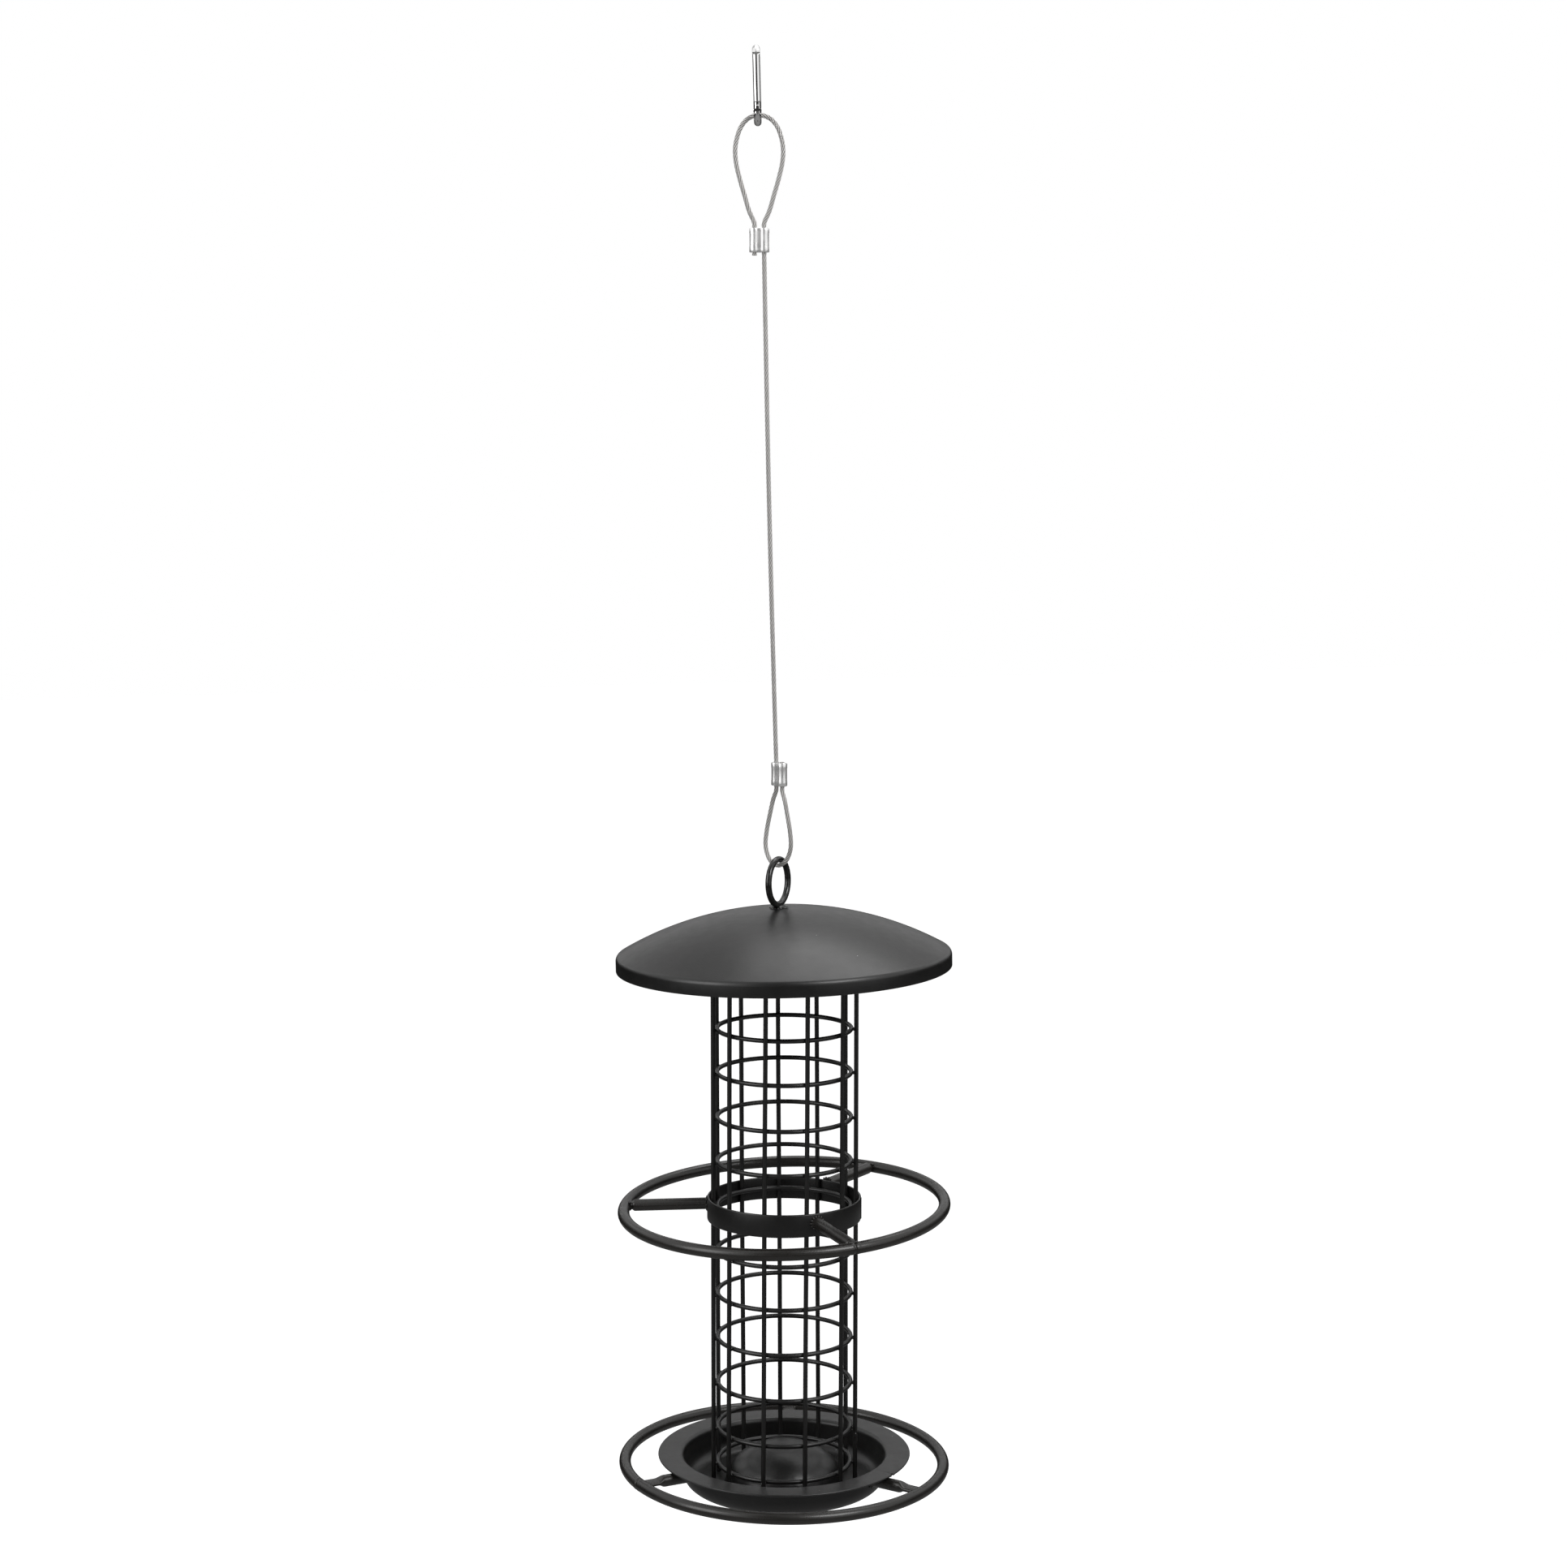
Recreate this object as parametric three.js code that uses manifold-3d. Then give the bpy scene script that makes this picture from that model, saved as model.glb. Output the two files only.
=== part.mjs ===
// Hanging fat ball feeder: a wire cage under a domed lid, hung by a wire rope and a snap hook.
// Millimetres, +Z up, the front faces -Y. From the rope down, levels are counted from the lid's
// lower rim along the cage's axis; the origin of the whole is the inside top of the snap hook.

import * as THREE from 'three';
import { mergeVertices } from 'three/addons/utils/BufferGeometryUtils.js';
import Module from 'manifold-3d';

const wasm = await Module();
wasm.setup();

const degrees = (angle) => THREE.MathUtils.degToRad(angle);

// Clearances
const seatGap = 0.3;               // between pieces that touch or are welded on the real object
const boreGap = 0.3;               // round a rope or a pin in its hole
const gripGap = 0.4;               // between the lid's sprung collar and the cage's top band
const overrun = 1;                 // how far a cutting body runs past what it cuts

// Lid
const lidRadius = 87.5;
const lidHeight = 31.1;            // lower rim to crown
const lidCrownRadius = 174;
const lidFoldRadius = 3;           // outside of the fold between dome and skirt
const lidSheet = 1;
const lidTilt = degrees(-1.2);     // the lid sits a little askew, its right side up
const gripBandSheet = 0.9;
const gripBandDrop = 2;            // below the lid's rim

// Hanging ring on the crown
const ringWire = 3.3;
const ringOuterRadius = 13.4;
const ringFootX = -2.1;
const ringTurn = degrees(65);      // direction of its plane, from +X towards the back
const weldLength = 6.4;
const weldWidth = 4.4;
const weldHeight = 2.2;
const weldShift = 3.1;             // from the ring's plane to the middle of a bead

// Cage
const hoopRadius = 35.05;          // centre line
const hoopWire = 2.4;
const firstHoopDrop = 8.2;         // all drops are below the lid's lower rim
const lastPitchedHoopRise = 14.5;  // above the tray's rim
const bottomHoopSink = 4.6;        // below the tray's rim
const uprightWire = 2.4;
const uprightTop = 8;              // above the lid's lower rim
const cageTwist = degrees(2.4);    // of the uprights' tops against their feet, counter-clockwise from above
const topBandHeight = 13;
const topBandSheet = 1.2;
const topBandRise = 1;             // above the uprights' ends

// Middle collar
const collarDrop = 127.7;          // to the middle of its height
const collarHeight = 12;
const collarSheet = 1.2;

// Perches
const perchRadius = 84.3;          // centre line
const perchRod = 6.2;
const upperPerchRise = 0.5;        // above the middle of the collar
const upperPerchTilt = degrees(1.85);        // its front is lower
const upperPerchSideTilt = degrees(-1.6);    // its right side is higher
const lowerPerchSink = 5;          // below the tray's rim
const lowerPerchTilt = degrees(0.3);
const lowerPerchSideTilt = degrees(0.7);     // its left side is higher
const spokeRod = 6.2;
const upperSpokeRise = 1.4;        // of a spoke's inner end above the ring
const upperSpokeEndRise = 0.4;
const upperCrimpLength = 1.8;
const upperTongueLength = 0.8;
const upperTongueThickness = 4.4;
const upperTongueWidth = 5;
const lowerCrimpLength = 4.5;
const lowerTongueLength = 6.5;
const lowerTongueThickness = 2.4;
const lowerTongueWidth = 7.4;
const upperSpokeAngles = [55, 175, 295].map(degrees);    // from +X towards the back
const lowerSpokeAngles = [88, 208, 328].map(degrees);

// Cage wires as they were welded: the uprights' angles at half height, from the front and positive to
// the right, and how far each hoop is below its even place, as a share of the pitch
const uprightAngles = [-48.7, -15.5, 17.7, 52.4, 84.5, 120, 151.7, 184, 216.5, 249.1, 281].map(degrees);
const hoopShiftShares = [0, 0.012, -0.016, -0.006, -0.024, -0.015, -0.012, -0.048, -0.042, -0.014, 0];

// Tray
const trayRimDrop = 260.4;         // top of the flat rim
const trayRimWidth = 12.7;         // from the dish's outside
const trayTrough = 15.05;          // from the cage's wires to the dish's outside
const trayDepth = 17.2;            // rim's top to the dish's underside
const traySheet = 1;
const trayShoulderRadius = 1.5;    // under the rim
const trayCornerRadius = 8;        // outside of the bend from wall to floor
const trayCentreClearance = 2.85;  // from the raised centre's foot to the hoops
const trayCentreHeight = 21;       // above the floor
const nickAngle = degrees(328);
const nickWidth = 2.4;
const nickDepth = 1.8;

// Snap hook, in its own frame: up from the underside of its bottom bend, the gate in front
const hookWire = 4;
const hookHeight = 40;
const hookTopRadius = 7.5;         // centre lines of the bends
const hookBottomRadius = 5.5;
const hookNoseHeight = 35.3;       // flat underside of the nose
const hookShift = -0.7;            // from the upper ferrule's middle
const tabThickness = 1.6;
const tabWidth = 4;
const gateWidth = 3.8;
const gateDepth = 3.2;
const gateHingeHeight = 7.4;
const gateHingeAdvance = 0.1;      // in front of the bottom bend's centre line
const gateTopAdvance = 0.7;        // how far the gate's upper end leans forward
const pinDiameter = 1.6;
const leafWidth = 1.4;
const leafThickness = 0.4;
const leafLength = 14;

// Wire rope and its ferrules, from the hanging ring upwards
const ropeDiameter = 2.4;
const lowerLoopHeight = 41.6;      // ferrule to the far end of the loop
const lowerLoopHalfWidth = 7.7;
const lowerFerruleX = -2.5;
const lowerFerruleTurn = degrees(-51);
const ropeRun = 259.7;             // between the ferrules
const ropeBow = 0.5;               // of the run, to the left
const upperFerruleX = -12.55;
const upperFerruleTurn = 0;
const upperLoopHeight = 56.1;
const upperLoopHalfWidth = 12.1;
const ferruleLength = 12;
const barrelRadius = 2.65;
const boreOffset = 2.45;           // of each bore from the ferrule's middle
const waistShare = 0.86;           // the ferrule's waist as a share of the barrel radius
const upperTail = 1.6;             // rope that shows beyond a ferrule
const lowerTail = 0.5;
const hangLean = degrees(1.369);   // of all below the hook, so that its weight hangs under the hook

// Loop outlines from ferrule to far end: [share of the height, share of the half width]
const upperLoopShares = [
  [0.153, 0.42],
  [0.301, 0.625],
  [0.453, 0.83],
  [0.581, 0.963],
  [0.697, 1],
  [0.807, 0.915],
  [0.904, 0.735],
  [0.97, 0.45],
];
const lowerLoopShares = [
  [0.176, 0.56],
  [0.366, 0.79],
  [0.588, 0.98],
  [0.744, 1],
  [0.86, 0.83],
  [0.95, 0.53],
];

// Facet counts
const hoopSides = 6;
const rodSides = 8;
const hookSides = 10;
const smallSegments = 12;
const hoopSegments = 30;
const ringSegments = 24;
const perchSegments = 48;
const sheetSegments = 40;
const carrierSegments = 72;
const runSteps = 12;
const upperLoopSteps = 26;
const lowerLoopSteps = 24;
const domeSteps = 8;
const trayCentreSteps = 5;
const bendSteps = 3;
const topBendSteps = 14;
const bottomBendSteps = 12;

// Materials
const blackCoat = { color: 0x1d1d1c, roughness: 0.42, metalness: 0.2 };
const perchCoat = { color: 0x24221f, roughness: 0.38, metalness: 0.25 };
const chrome = { color: 0xc9cacb, roughness: 0.12, metalness: 1 };
const aluminium = { color: 0xc4c4c2, roughness: 0.3, metalness: 1 };
const ropeSteel = { color: 0xa9aaa9, roughness: 0.35, metalness: 1 };

// Solids and meshes

function toSolid(geometry) {
  const bare = geometry.clone();
  bare.deleteAttribute('normal');
  bare.deleteAttribute('uv');
  const merged = mergeVertices(bare);
  const vertProperties = new Float32Array(merged.attributes.position.array);
  const triVerts = new Uint32Array(merged.index.array);
  return new wasm.Manifold(new wasm.Mesh({ numProp: 3, vertProperties, triVerts }));
}

function toGeometry(solid) {
  const mesh = solid.getMesh();
  const geometry = new THREE.BufferGeometry();
  geometry.setAttribute('position', new THREE.BufferAttribute(mesh.vertProperties, 3));
  geometry.setIndex(new THREE.BufferAttribute(mesh.triVerts, 1));
  geometry.computeVertexNormals();
  return geometry;
}

function join(...geometries) {
  const [first, ...others] = geometries.map(toSolid);
  return toGeometry(others.reduce((sum, other) => sum.add(other), first));
}

function cut(geometry, ...cutters) {
  const solids = cutters.map(toSolid);
  return toGeometry(solids.reduce((rest, cutter) => rest.subtract(cutter), toSolid(geometry)));
}

function piece(name, geometry, finish) {
  const mesh = new THREE.Mesh(geometry, new THREE.MeshStandardMaterial(finish));
  mesh.name = name;
  return mesh;
}

function group(...members) {
  return new THREE.Group().add(...members.flat());
}

// Outlines and bodies

function arc(centreX, centreY, radius, from, to, steps) {
  return Array.from({ length: steps + 1 }, (_, i) => {
    const angle = from + ((to - from) * i) / steps;
    return [centreX + radius * Math.cos(angle), centreY + radius * Math.sin(angle)];
  });
}

// A body of revolution about Z; its outline runs counter-clockwise in [radius, level].
function turned(outline, segments) {
  const points = outline.map(([radius, level]) => new THREE.Vector2(radius, level));
  return new THREE.LatheGeometry(points, segments).rotateX(Math.PI / 2);
}

function band(innerRadius, outerRadius, low, high) {
  const outline = [[innerRadius, low], [outerRadius, low], [outerRadius, high], [innerRadius, high]];
  return turned([...outline, outline[0]], sheetSegments);
}

function uprightRod(radius, low, high, sides) {
  const rod = new THREE.CylinderGeometry(radius, radius, high - low, sides);
  return rod.rotateX(Math.PI / 2).translate(0, 0, (low + high) / 2);
}

function crossRod(radius, length) {
  return new THREE.CylinderGeometry(radius, radius, length, smallSegments).rotateZ(Math.PI / 2);
}

function block(fromX, toX, fromY, toY, fromZ, toZ) {
  const box = new THREE.BoxGeometry(toX - fromX, toY - fromY, toZ - fromZ);
  return box.translate((fromX + toX) / 2, (fromY + toY) / 2, (fromZ + toZ) / 2);
}

function flatShape(outline) {
  return new THREE.Shape(outline.map(([x, y]) => new THREE.Vector2(x, y)));
}

// Runs evenly from one listed point to the next, so that each point becomes one step of a tube.
class RouteCurve extends THREE.Curve {
  constructor(points) {
    super();
    this.points = points;
  }

  getPointAt(share) {
    return this.points[Math.round(share * (this.points.length - 1))].clone();
  }

  getTangentAt(share) {
    const place = Math.round(share * (this.points.length - 1));
    const before = this.points[Math.max(place - 1, 0)];
    const after = this.points[Math.min(place + 1, this.points.length - 1)];
    return after.clone().sub(before).normalize();
  }
}

function tube(points, radius, sides) {
  const section = flatShape(arc(0, 0, radius, 0, 2 * Math.PI, sides).slice(1));
  const extrudePath = new RouteCurve(points);
  return new THREE.ExtrudeGeometry(section, { steps: points.length - 1, extrudePath });
}

// Lid: a spherical dome, a round fold and a plain skirt
const domeCentre = lidHeight - lidCrownRadius;
const foldCentreRadius = lidRadius - lidFoldRadius;
const foldCentreLevel = domeCentre
  + Math.sqrt((lidCrownRadius - lidFoldRadius) ** 2 - foldCentreRadius ** 2);
const foldStart = Math.atan2(foldCentreLevel - domeCentre, foldCentreRadius);

function lidSkin(inset) {
  const dome = arc(0, domeCentre, lidCrownRadius - inset, Math.PI / 2, foldStart, domeSteps);
  dome[0][0] = 0;
  const fold = arc(foldCentreRadius, foldCentreLevel, lidFoldRadius - inset, foldStart, 0, bendSteps);
  return [...dome, ...fold.slice(1), [lidRadius - inset, 0]];
}

function domeLevel(radius, aside) {
  return domeCentre + Math.sqrt(radius ** 2 - aside ** 2);
}

// Radii of the cage, each piece seated round the one before
const uprightRadius = hoopRadius + hoopWire / 2 + seatGap + uprightWire / 2;
const cageRadius = uprightRadius + uprightWire / 2;
const collarInnerRadius = cageRadius + seatGap;
const topBandOuterRadius = collarInnerRadius + topBandSheet;
const gripBandInnerRadius = topBandOuterRadius + gripGap;
const gripBandOuterRadius = gripBandInnerRadius + gripBandSheet;

// Hanging ring
const ringRadius = ringOuterRadius - ringWire / 2;
const ringFootLevel = domeLevel(lidCrownRadius, ringFootX);
const ringCentreLevel = ringFootLevel + seatGap + ringOuterRadius;

function ringBody(wire) {
  const ring = new THREE.TorusGeometry(ringRadius, wire / 2, rodSides, ringSegments);
  return ring.rotateX(Math.PI / 2).rotateZ(ringTurn).translate(ringFootX, 0, ringCentreLevel);
}

function weldBead(side) {
  const bead = new THREE.SphereGeometry(1, smallSegments, rodSides)
    .rotateX(Math.PI / 2)
    .scale(weldLength / 2, weldWidth / 2, weldHeight)
    .translate(0, side * weldShift, 0)
    .rotateZ(ringTurn)
    .translate(ringFootX, 0, ringFootLevel);
  const reach = weldShift + weldLength + overrun;
  const top = ringFootLevel + seatGap;
  const crown = block(ringFootX - reach, ringFootX + reach, -reach, reach, top - reach, top);
  return cut(bead, crown, ringBody(ringWire + 2 * seatGap));
}

function makeLid() {
  const gripTop = domeLevel(lidCrownRadius - lidSheet, gripBandOuterRadius) - seatGap;
  const gripBand = band(gripBandInnerRadius, gripBandOuterRadius, -gripBandDrop, gripTop);
  const lid = group(
    piece('lid_shell', turned([...lidSkin(lidSheet), ...lidSkin(0).reverse()], sheetSegments), blackCoat),
    piece('lid_grip_band', gripBand, blackCoat),
    piece('hanging_ring', ringBody(ringWire), blackCoat),
    piece('ring_weld_right', weldBead(-1), blackCoat),
    piece('ring_weld_left', weldBead(1), blackCoat),
  );
  lid.rotation.y = lidTilt;
  return lid;
}

// Cage
const trayFloor = traySheet - trayRimDrop - trayDepth;
const hoopPitch = (trayRimDrop - firstHoopDrop - lastPitchedHoopRise) / (hoopShiftShares.length - 1);

function numbered(prefix, index) {
  return `${prefix}_${String(index + 1).padStart(2, '0')}`;
}

function makeHoops() {
  const drops = hoopShiftShares.map((shift, i) => firstHoopDrop + (i + shift) * hoopPitch);
  drops.push(trayRimDrop + bottomHoopSink);
  return drops.map((drop, i) => {
    const hoop = new THREE.TorusGeometry(hoopRadius, hoopWire / 2, hoopSides, hoopSegments);
    return piece(numbered('cage_hoop', i), hoop.translate(0, 0, -drop), blackCoat);
  });
}

function makeUprights() {
  const low = trayFloor + seatGap;
  const reach = (uprightTop - low) / 2;
  const lean = Math.atan((uprightRadius * Math.tan(cageTwist / 2)) / reach);
  return uprightAngles.map((angle, i) => {
    const rod = uprightRod(uprightWire / 2, -reach, reach, rodSides).rotateY(lean);
    rod.translate(0, -uprightRadius, low + reach).rotateZ(angle);
    return piece(numbered('cage_upright', i), rod, blackCoat);
  });
}

function makeBands() {
  const topBandTop = uprightTop + topBandRise;
  const topBand = band(collarInnerRadius, topBandOuterRadius, topBandTop - topBandHeight, topBandTop);
  const collar = band(collarInnerRadius, collarInnerRadius + collarSheet, -collarHeight / 2, collarHeight / 2);
  return [
    piece('cage_top_band', topBand, blackCoat),
    piece('middle_collar', collar.translate(0, 0, -collarDrop), blackCoat),
  ];
}

// Perches: a rod bent to a ring, and spokes whose outer ends are crimped
const spokeEnd = (perchRadius - perchRod / 2) * Math.cos(Math.PI / perchSegments) - seatGap;

function spokeBody({ rise, endRise, crimp, tongue, thickness, width }, carrierRadius, place) {
  const tongueStart = spokeEnd - tongue;
  const stations = [
    { at: carrierRadius - spokeRod, across: spokeRod, high: spokeRod, level: rise },
    { at: tongueStart - crimp, across: spokeRod, high: spokeRod, level: endRise },
    { at: tongueStart, across: width, high: thickness, level: endRise },
    { at: spokeEnd, across: width, high: thickness, level: endRise },
  ];
  const last = stations.length - 1;
  const body = new THREE.CylinderGeometry(1, 1, last, rodSides, last).rotateZ(-Math.PI / 2);
  const position = body.attributes.position;
  for (let i = 0; i < position.count; i += 1) {
    const { at, across, high, level } = stations[Math.round(position.getX(i) + last / 2)];
    position.setXYZ(i, at, (position.getY(i) * across) / 2, level + (position.getZ(i) * high) / 2);
  }
  const carrier = uprightRod(carrierRadius + seatGap, -2 * spokeRod, 2 * spokeRod, carrierSegments);
  return cut(body, carrier.applyMatrix4(place.clone().invert()));
}

function makePerch({ prefix, level, tilt, sideTilt, carrierRadius, angles, spoke }) {
  const rod = new THREE.TorusGeometry(perchRadius, perchRod / 2, rodSides, perchSegments);
  const tilted = new THREE.Matrix4().makeRotationX(tilt);
  tilted.multiply(new THREE.Matrix4().makeRotationY(sideTilt));
  const spokes = angles.map((angle, i) => {
    const place = tilted.clone().multiply(new THREE.Matrix4().makeRotationZ(angle));
    const body = spokeBody(spoke, carrierRadius, place).applyMatrix4(place);
    return piece(numbered(`${prefix}_perch_spoke`, i), body, perchCoat);
  });
  const perch = group(piece(`${prefix}_perch_ring`, rod.applyMatrix4(tilted), perchCoat), spokes);
  perch.position.z = level;
  return perch;
}

// Tray: one pressed sheet with a flat rim, a dish and a raised centre
const trayRadius = cageRadius + trayTrough;
const trayRimRadius = trayRadius + trayRimWidth;
const trayCentreRadius = hoopRadius - hoopWire / 2 - trayCentreClearance;

function traySkin(inset) {
  const level = inset - traySheet;
  const floor = inset - trayDepth;
  const shoulder = trayShoulderRadius + inset;
  const cornerX = trayRadius - trayCornerRadius;
  const centre = arc(0, 0, 1, 0, Math.PI / 2, trayCentreSteps).map(([across, up]) => [
    across * (trayCentreRadius - traySheet + inset),
    floor + up * trayCentreHeight,
  ]);
  centre[trayCentreSteps][0] = 0;
  return [
    [trayRimRadius, level],
    ...arc(trayRadius + trayShoulderRadius, level - shoulder, shoulder, Math.PI / 2, Math.PI, bendSteps),
    ...arc(cornerX, trayCornerRadius - trayDepth, trayCornerRadius - inset, 0, -Math.PI / 2, bendSteps),
    ...centre,
  ];
}

function makeTray() {
  const dish = turned([...traySkin(0).reverse(), ...traySkin(traySheet)], sheetSegments);
  const nick = block(
    trayRimRadius - nickDepth,
    trayRimRadius + overrun,
    -nickWidth / 2,
    nickWidth / 2,
    -traySheet - overrun,
    overrun,
  ).rotateZ(nickAngle);
  return piece('tray', cut(dish, nick).translate(0, 0, -trayRimDrop), blackCoat);
}

// Cable: one rope through both ferrules, with a loop at each end
const ringTop = new THREE.Vector3(ringFootX, 0, ringCentreLevel + ringOuterRadius - ringWire)
  .applyAxisAngle(new THREE.Vector3(0, 1, 0), lidTilt);
const lowerLoopEnd = ringTop.z - seatGap - ropeDiameter / 2;
const lowerFerruleLow = lowerLoopEnd + lowerLoopHeight;
const lowerFerruleHigh = lowerFerruleLow + ferruleLength;
const upperFerruleLow = lowerFerruleHigh + ropeRun;
const upperFerruleHigh = upperFerruleLow + ferruleLength;
const upperLoopEnd = upperFerruleHigh + upperLoopHeight;
const boreRadius = ropeDiameter / 2 + boreGap;

// A point beside a ferrule's axis, out to the right (+1) or left (-1) barrel at a level
function atBarrel(ferruleX, turn, side, level) {
  const reach = side * boreOffset;
  return new THREE.Vector3(ferruleX + reach * Math.cos(turn), reach * Math.sin(turn), level);
}

function loopPoints({ x, endX, turn, endTurn, from, end, halfWidth, shares, steps }) {
  const legPoint = (side) => ([up, out]) => {
    const direction = turn + (endTurn - turn) * up;
    const reach = side * out * halfWidth;
    return new THREE.Vector3(
      x + (endX - x) * up + reach * Math.cos(direction),
      reach * Math.sin(direction),
      from + (end - from) * up,
    );
  };
  const straight = from + Math.sign(end - from) * ropeDiameter;
  const knots = [
    atBarrel(x, turn, -1, from),
    atBarrel(x, turn, -1, straight),
    ...shares.map(legPoint(-1)),
    new THREE.Vector3(endX, 0, end),
    ...shares.map(legPoint(1)).reverse(),
    atBarrel(x, turn, 1, straight),
    atBarrel(x, turn, 1, from),
  ];
  return new THREE.CatmullRomCurve3(knots).getSpacedPoints(steps);
}

function ropeRoute() {
  const upperLoop = loopPoints({
    x: upperFerruleX,
    endX: upperFerruleX,
    turn: upperFerruleTurn,
    endTurn: upperFerruleTurn,
    from: upperFerruleHigh,
    end: upperLoopEnd,
    halfWidth: upperLoopHalfWidth,
    shares: upperLoopShares,
    steps: upperLoopSteps,
  });
  const lowerLoop = loopPoints({
    x: lowerFerruleX,
    endX: ringTop.x,
    turn: lowerFerruleTurn,
    endTurn: ringTurn - Math.PI / 2,
    from: lowerFerruleLow,
    end: lowerLoopEnd,
    halfWidth: lowerLoopHalfWidth,
    shares: lowerLoopShares,
    steps: lowerLoopSteps,
  });
  const runStart = atBarrel(upperFerruleX, upperFerruleTurn, 1, upperFerruleLow);
  const runEnd = atBarrel(lowerFerruleX, lowerFerruleTurn, -1, lowerFerruleHigh);
  const run = Array.from({ length: runSteps + 1 }, (_, i) => {
    const point = runStart.clone().lerp(runEnd, i / runSteps);
    point.x -= ropeBow * Math.sin((Math.PI * i) / runSteps);
    return point;
  });
  return [
    atBarrel(upperFerruleX, upperFerruleTurn, -1, upperFerruleLow - upperTail),
    ...upperLoop,
    ...run,
    ...lowerLoop,
    atBarrel(lowerFerruleX, lowerFerruleTurn, 1, lowerFerruleHigh + lowerTail),
  ];
}

function makeFerrule(name, x, turn, low) {
  const waist = waistShare * barrelRadius;
  const shape = flatShape([
    ...arc(boreOffset, 0, barrelRadius, -Math.PI / 2, Math.PI / 2, rodSides),
    [0, waist],
    ...arc(-boreOffset, 0, barrelRadius, Math.PI / 2, (3 * Math.PI) / 2, rodSides),
    [0, -waist],
  ]);
  shape.holes = [-boreOffset, boreOffset].map((middle) => (
    flatShape(arc(middle, 0, boreRadius, 0, -2 * Math.PI, smallSegments).slice(1))
  ));
  const body = new THREE.ExtrudeGeometry(shape, { depth: ferruleLength, bevelEnabled: false });
  return piece(name, body.rotateZ(turn).translate(x, 0, low), aluminium);
}

function makeCable() {
  return [
    piece('wire_rope', tube(ropeRoute(), ropeDiameter / 2, rodSides), ropeSteel),
    makeFerrule('upper_ferrule', upperFerruleX, upperFerruleTurn, upperFerruleLow),
    makeFerrule('lower_ferrule', lowerFerruleX, lowerFerruleTurn, lowerFerruleLow),
  ];
}

// Snap hook
const hookTopCentre = hookHeight - hookWire / 2 - hookTopRadius;
const hookBottomCentre = hookWire / 2 + hookBottomRadius;
const spineLean = Math.asin((hookTopRadius - hookBottomRadius) / (hookTopCentre - hookBottomCentre));
const hingeY = -hookBottomRadius - gateHingeAdvance;
const tabReach = tabWidth / 2;
const pinBoreRadius = pinDiameter / 2 + boreGap;

// A plate of the given thickness across X, from an outline in [y, z]
function plate(outline, thickness) {
  const body = new THREE.ExtrudeGeometry(flatShape(outline), { depth: thickness, bevelEnabled: false });
  return body.translate(0, 0, -thickness / 2).rotateY(Math.PI / 2).rotateX(Math.PI / 2);
}

function hookBody() {
  const path = [
    ...arc(0, hookTopCentre, hookTopRadius, Math.PI, -spineLean, topBendSteps),
    ...arc(0, hookBottomCentre, hookBottomRadius, -spineLean, -Math.PI, bottomBendSteps),
  ].map(([y, z]) => new THREE.Vector3(0, y, z));
  const front = -hookTopRadius - hookWire;
  const shoulder = gateHingeHeight - gateDepth / 2 - seatGap;
  const belowNose = block(-hookWire, hookWire, front, -hookWire / 2, hookTopCentre - hookWire, hookNoseHeight);
  const aboveShoulder = block(-hookWire, hookWire, front, 0, shoulder, hookBottomCentre + hookWire);
  const wire = cut(tube(path, hookWire / 2, hookSides), belowNose, aboveShoulder);
  const rootLevel = shoulder - hookWire / 4;
  const rootY = -Math.sqrt(hookBottomRadius ** 2 - (hookBottomCentre - rootLevel) ** 2);
  const tab = plate([
    ...arc(hingeY, gateHingeHeight, tabReach, 0, Math.PI, rodSides),
    [rootY - hookWire / 3, rootLevel],
    [rootY + hookWire / 3, rootLevel],
  ], tabThickness);
  const bore = crossRod(pinBoreRadius, hookWire).translate(0, hingeY, gateHingeHeight);
  return cut(join(wire, tab), bore);
}

// Gate in its own frame: up from the hinge line. A channel with a round back and two ears.
function gateBody() {
  const outer = gateWidth / 2;
  const slot = tabThickness / 2 + seatGap;
  const roundY = outer - gateDepth / 2;
  const length = hookNoseHeight - gateHingeHeight - seatGap;
  const channel = new THREE.ExtrudeGeometry(flatShape([
    ...arc(0, roundY, outer, 0, -Math.PI, rodSides),
    [-outer, gateDepth / 2],
    [-slot, gateDepth / 2],
    ...arc(0, roundY, slot, -Math.PI, 0, rodSides),
    [slot, gateDepth / 2],
    [outer, gateDepth / 2],
  ]), { depth: length, bevelEnabled: false });
  const heel = crossRod(gateDepth / 2, gateWidth);
  const tabSpace = block(-slot, slot, -gateDepth, gateDepth, -gateDepth, tabReach + seatGap);
  return cut(join(channel, heel), tabSpace, crossRod(pinBoreRadius, gateWidth + overrun));
}

function leafBody() {
  const low = tabReach + 2 * seatGap;
  return block(-leafWidth / 2, leafWidth / 2, -leafThickness / 2, leafThickness / 2, low, low + leafLength);
}

const hookLevel = upperLoopEnd - ropeDiameter / 2 - seatGap - hookWire;

function makeSnapHook() {
  const gate = group(
    piece('snap_hook_gate', gateBody(), chrome),
    piece('gate_spring', leafBody(), ropeSteel),
  );
  gate.rotation.x = Math.atan(gateTopAdvance / (hookNoseHeight - gateHingeHeight));
  gate.position.set(0, hingeY, gateHingeHeight);
  const pin = crossRod(pinDiameter / 2, gateWidth).translate(0, hingeY, gateHingeHeight);
  return group(
    piece('snap_hook_body', hookBody(), chrome),
    piece('hinge_pin', pin, chrome),
    gate,
  );
}

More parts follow.
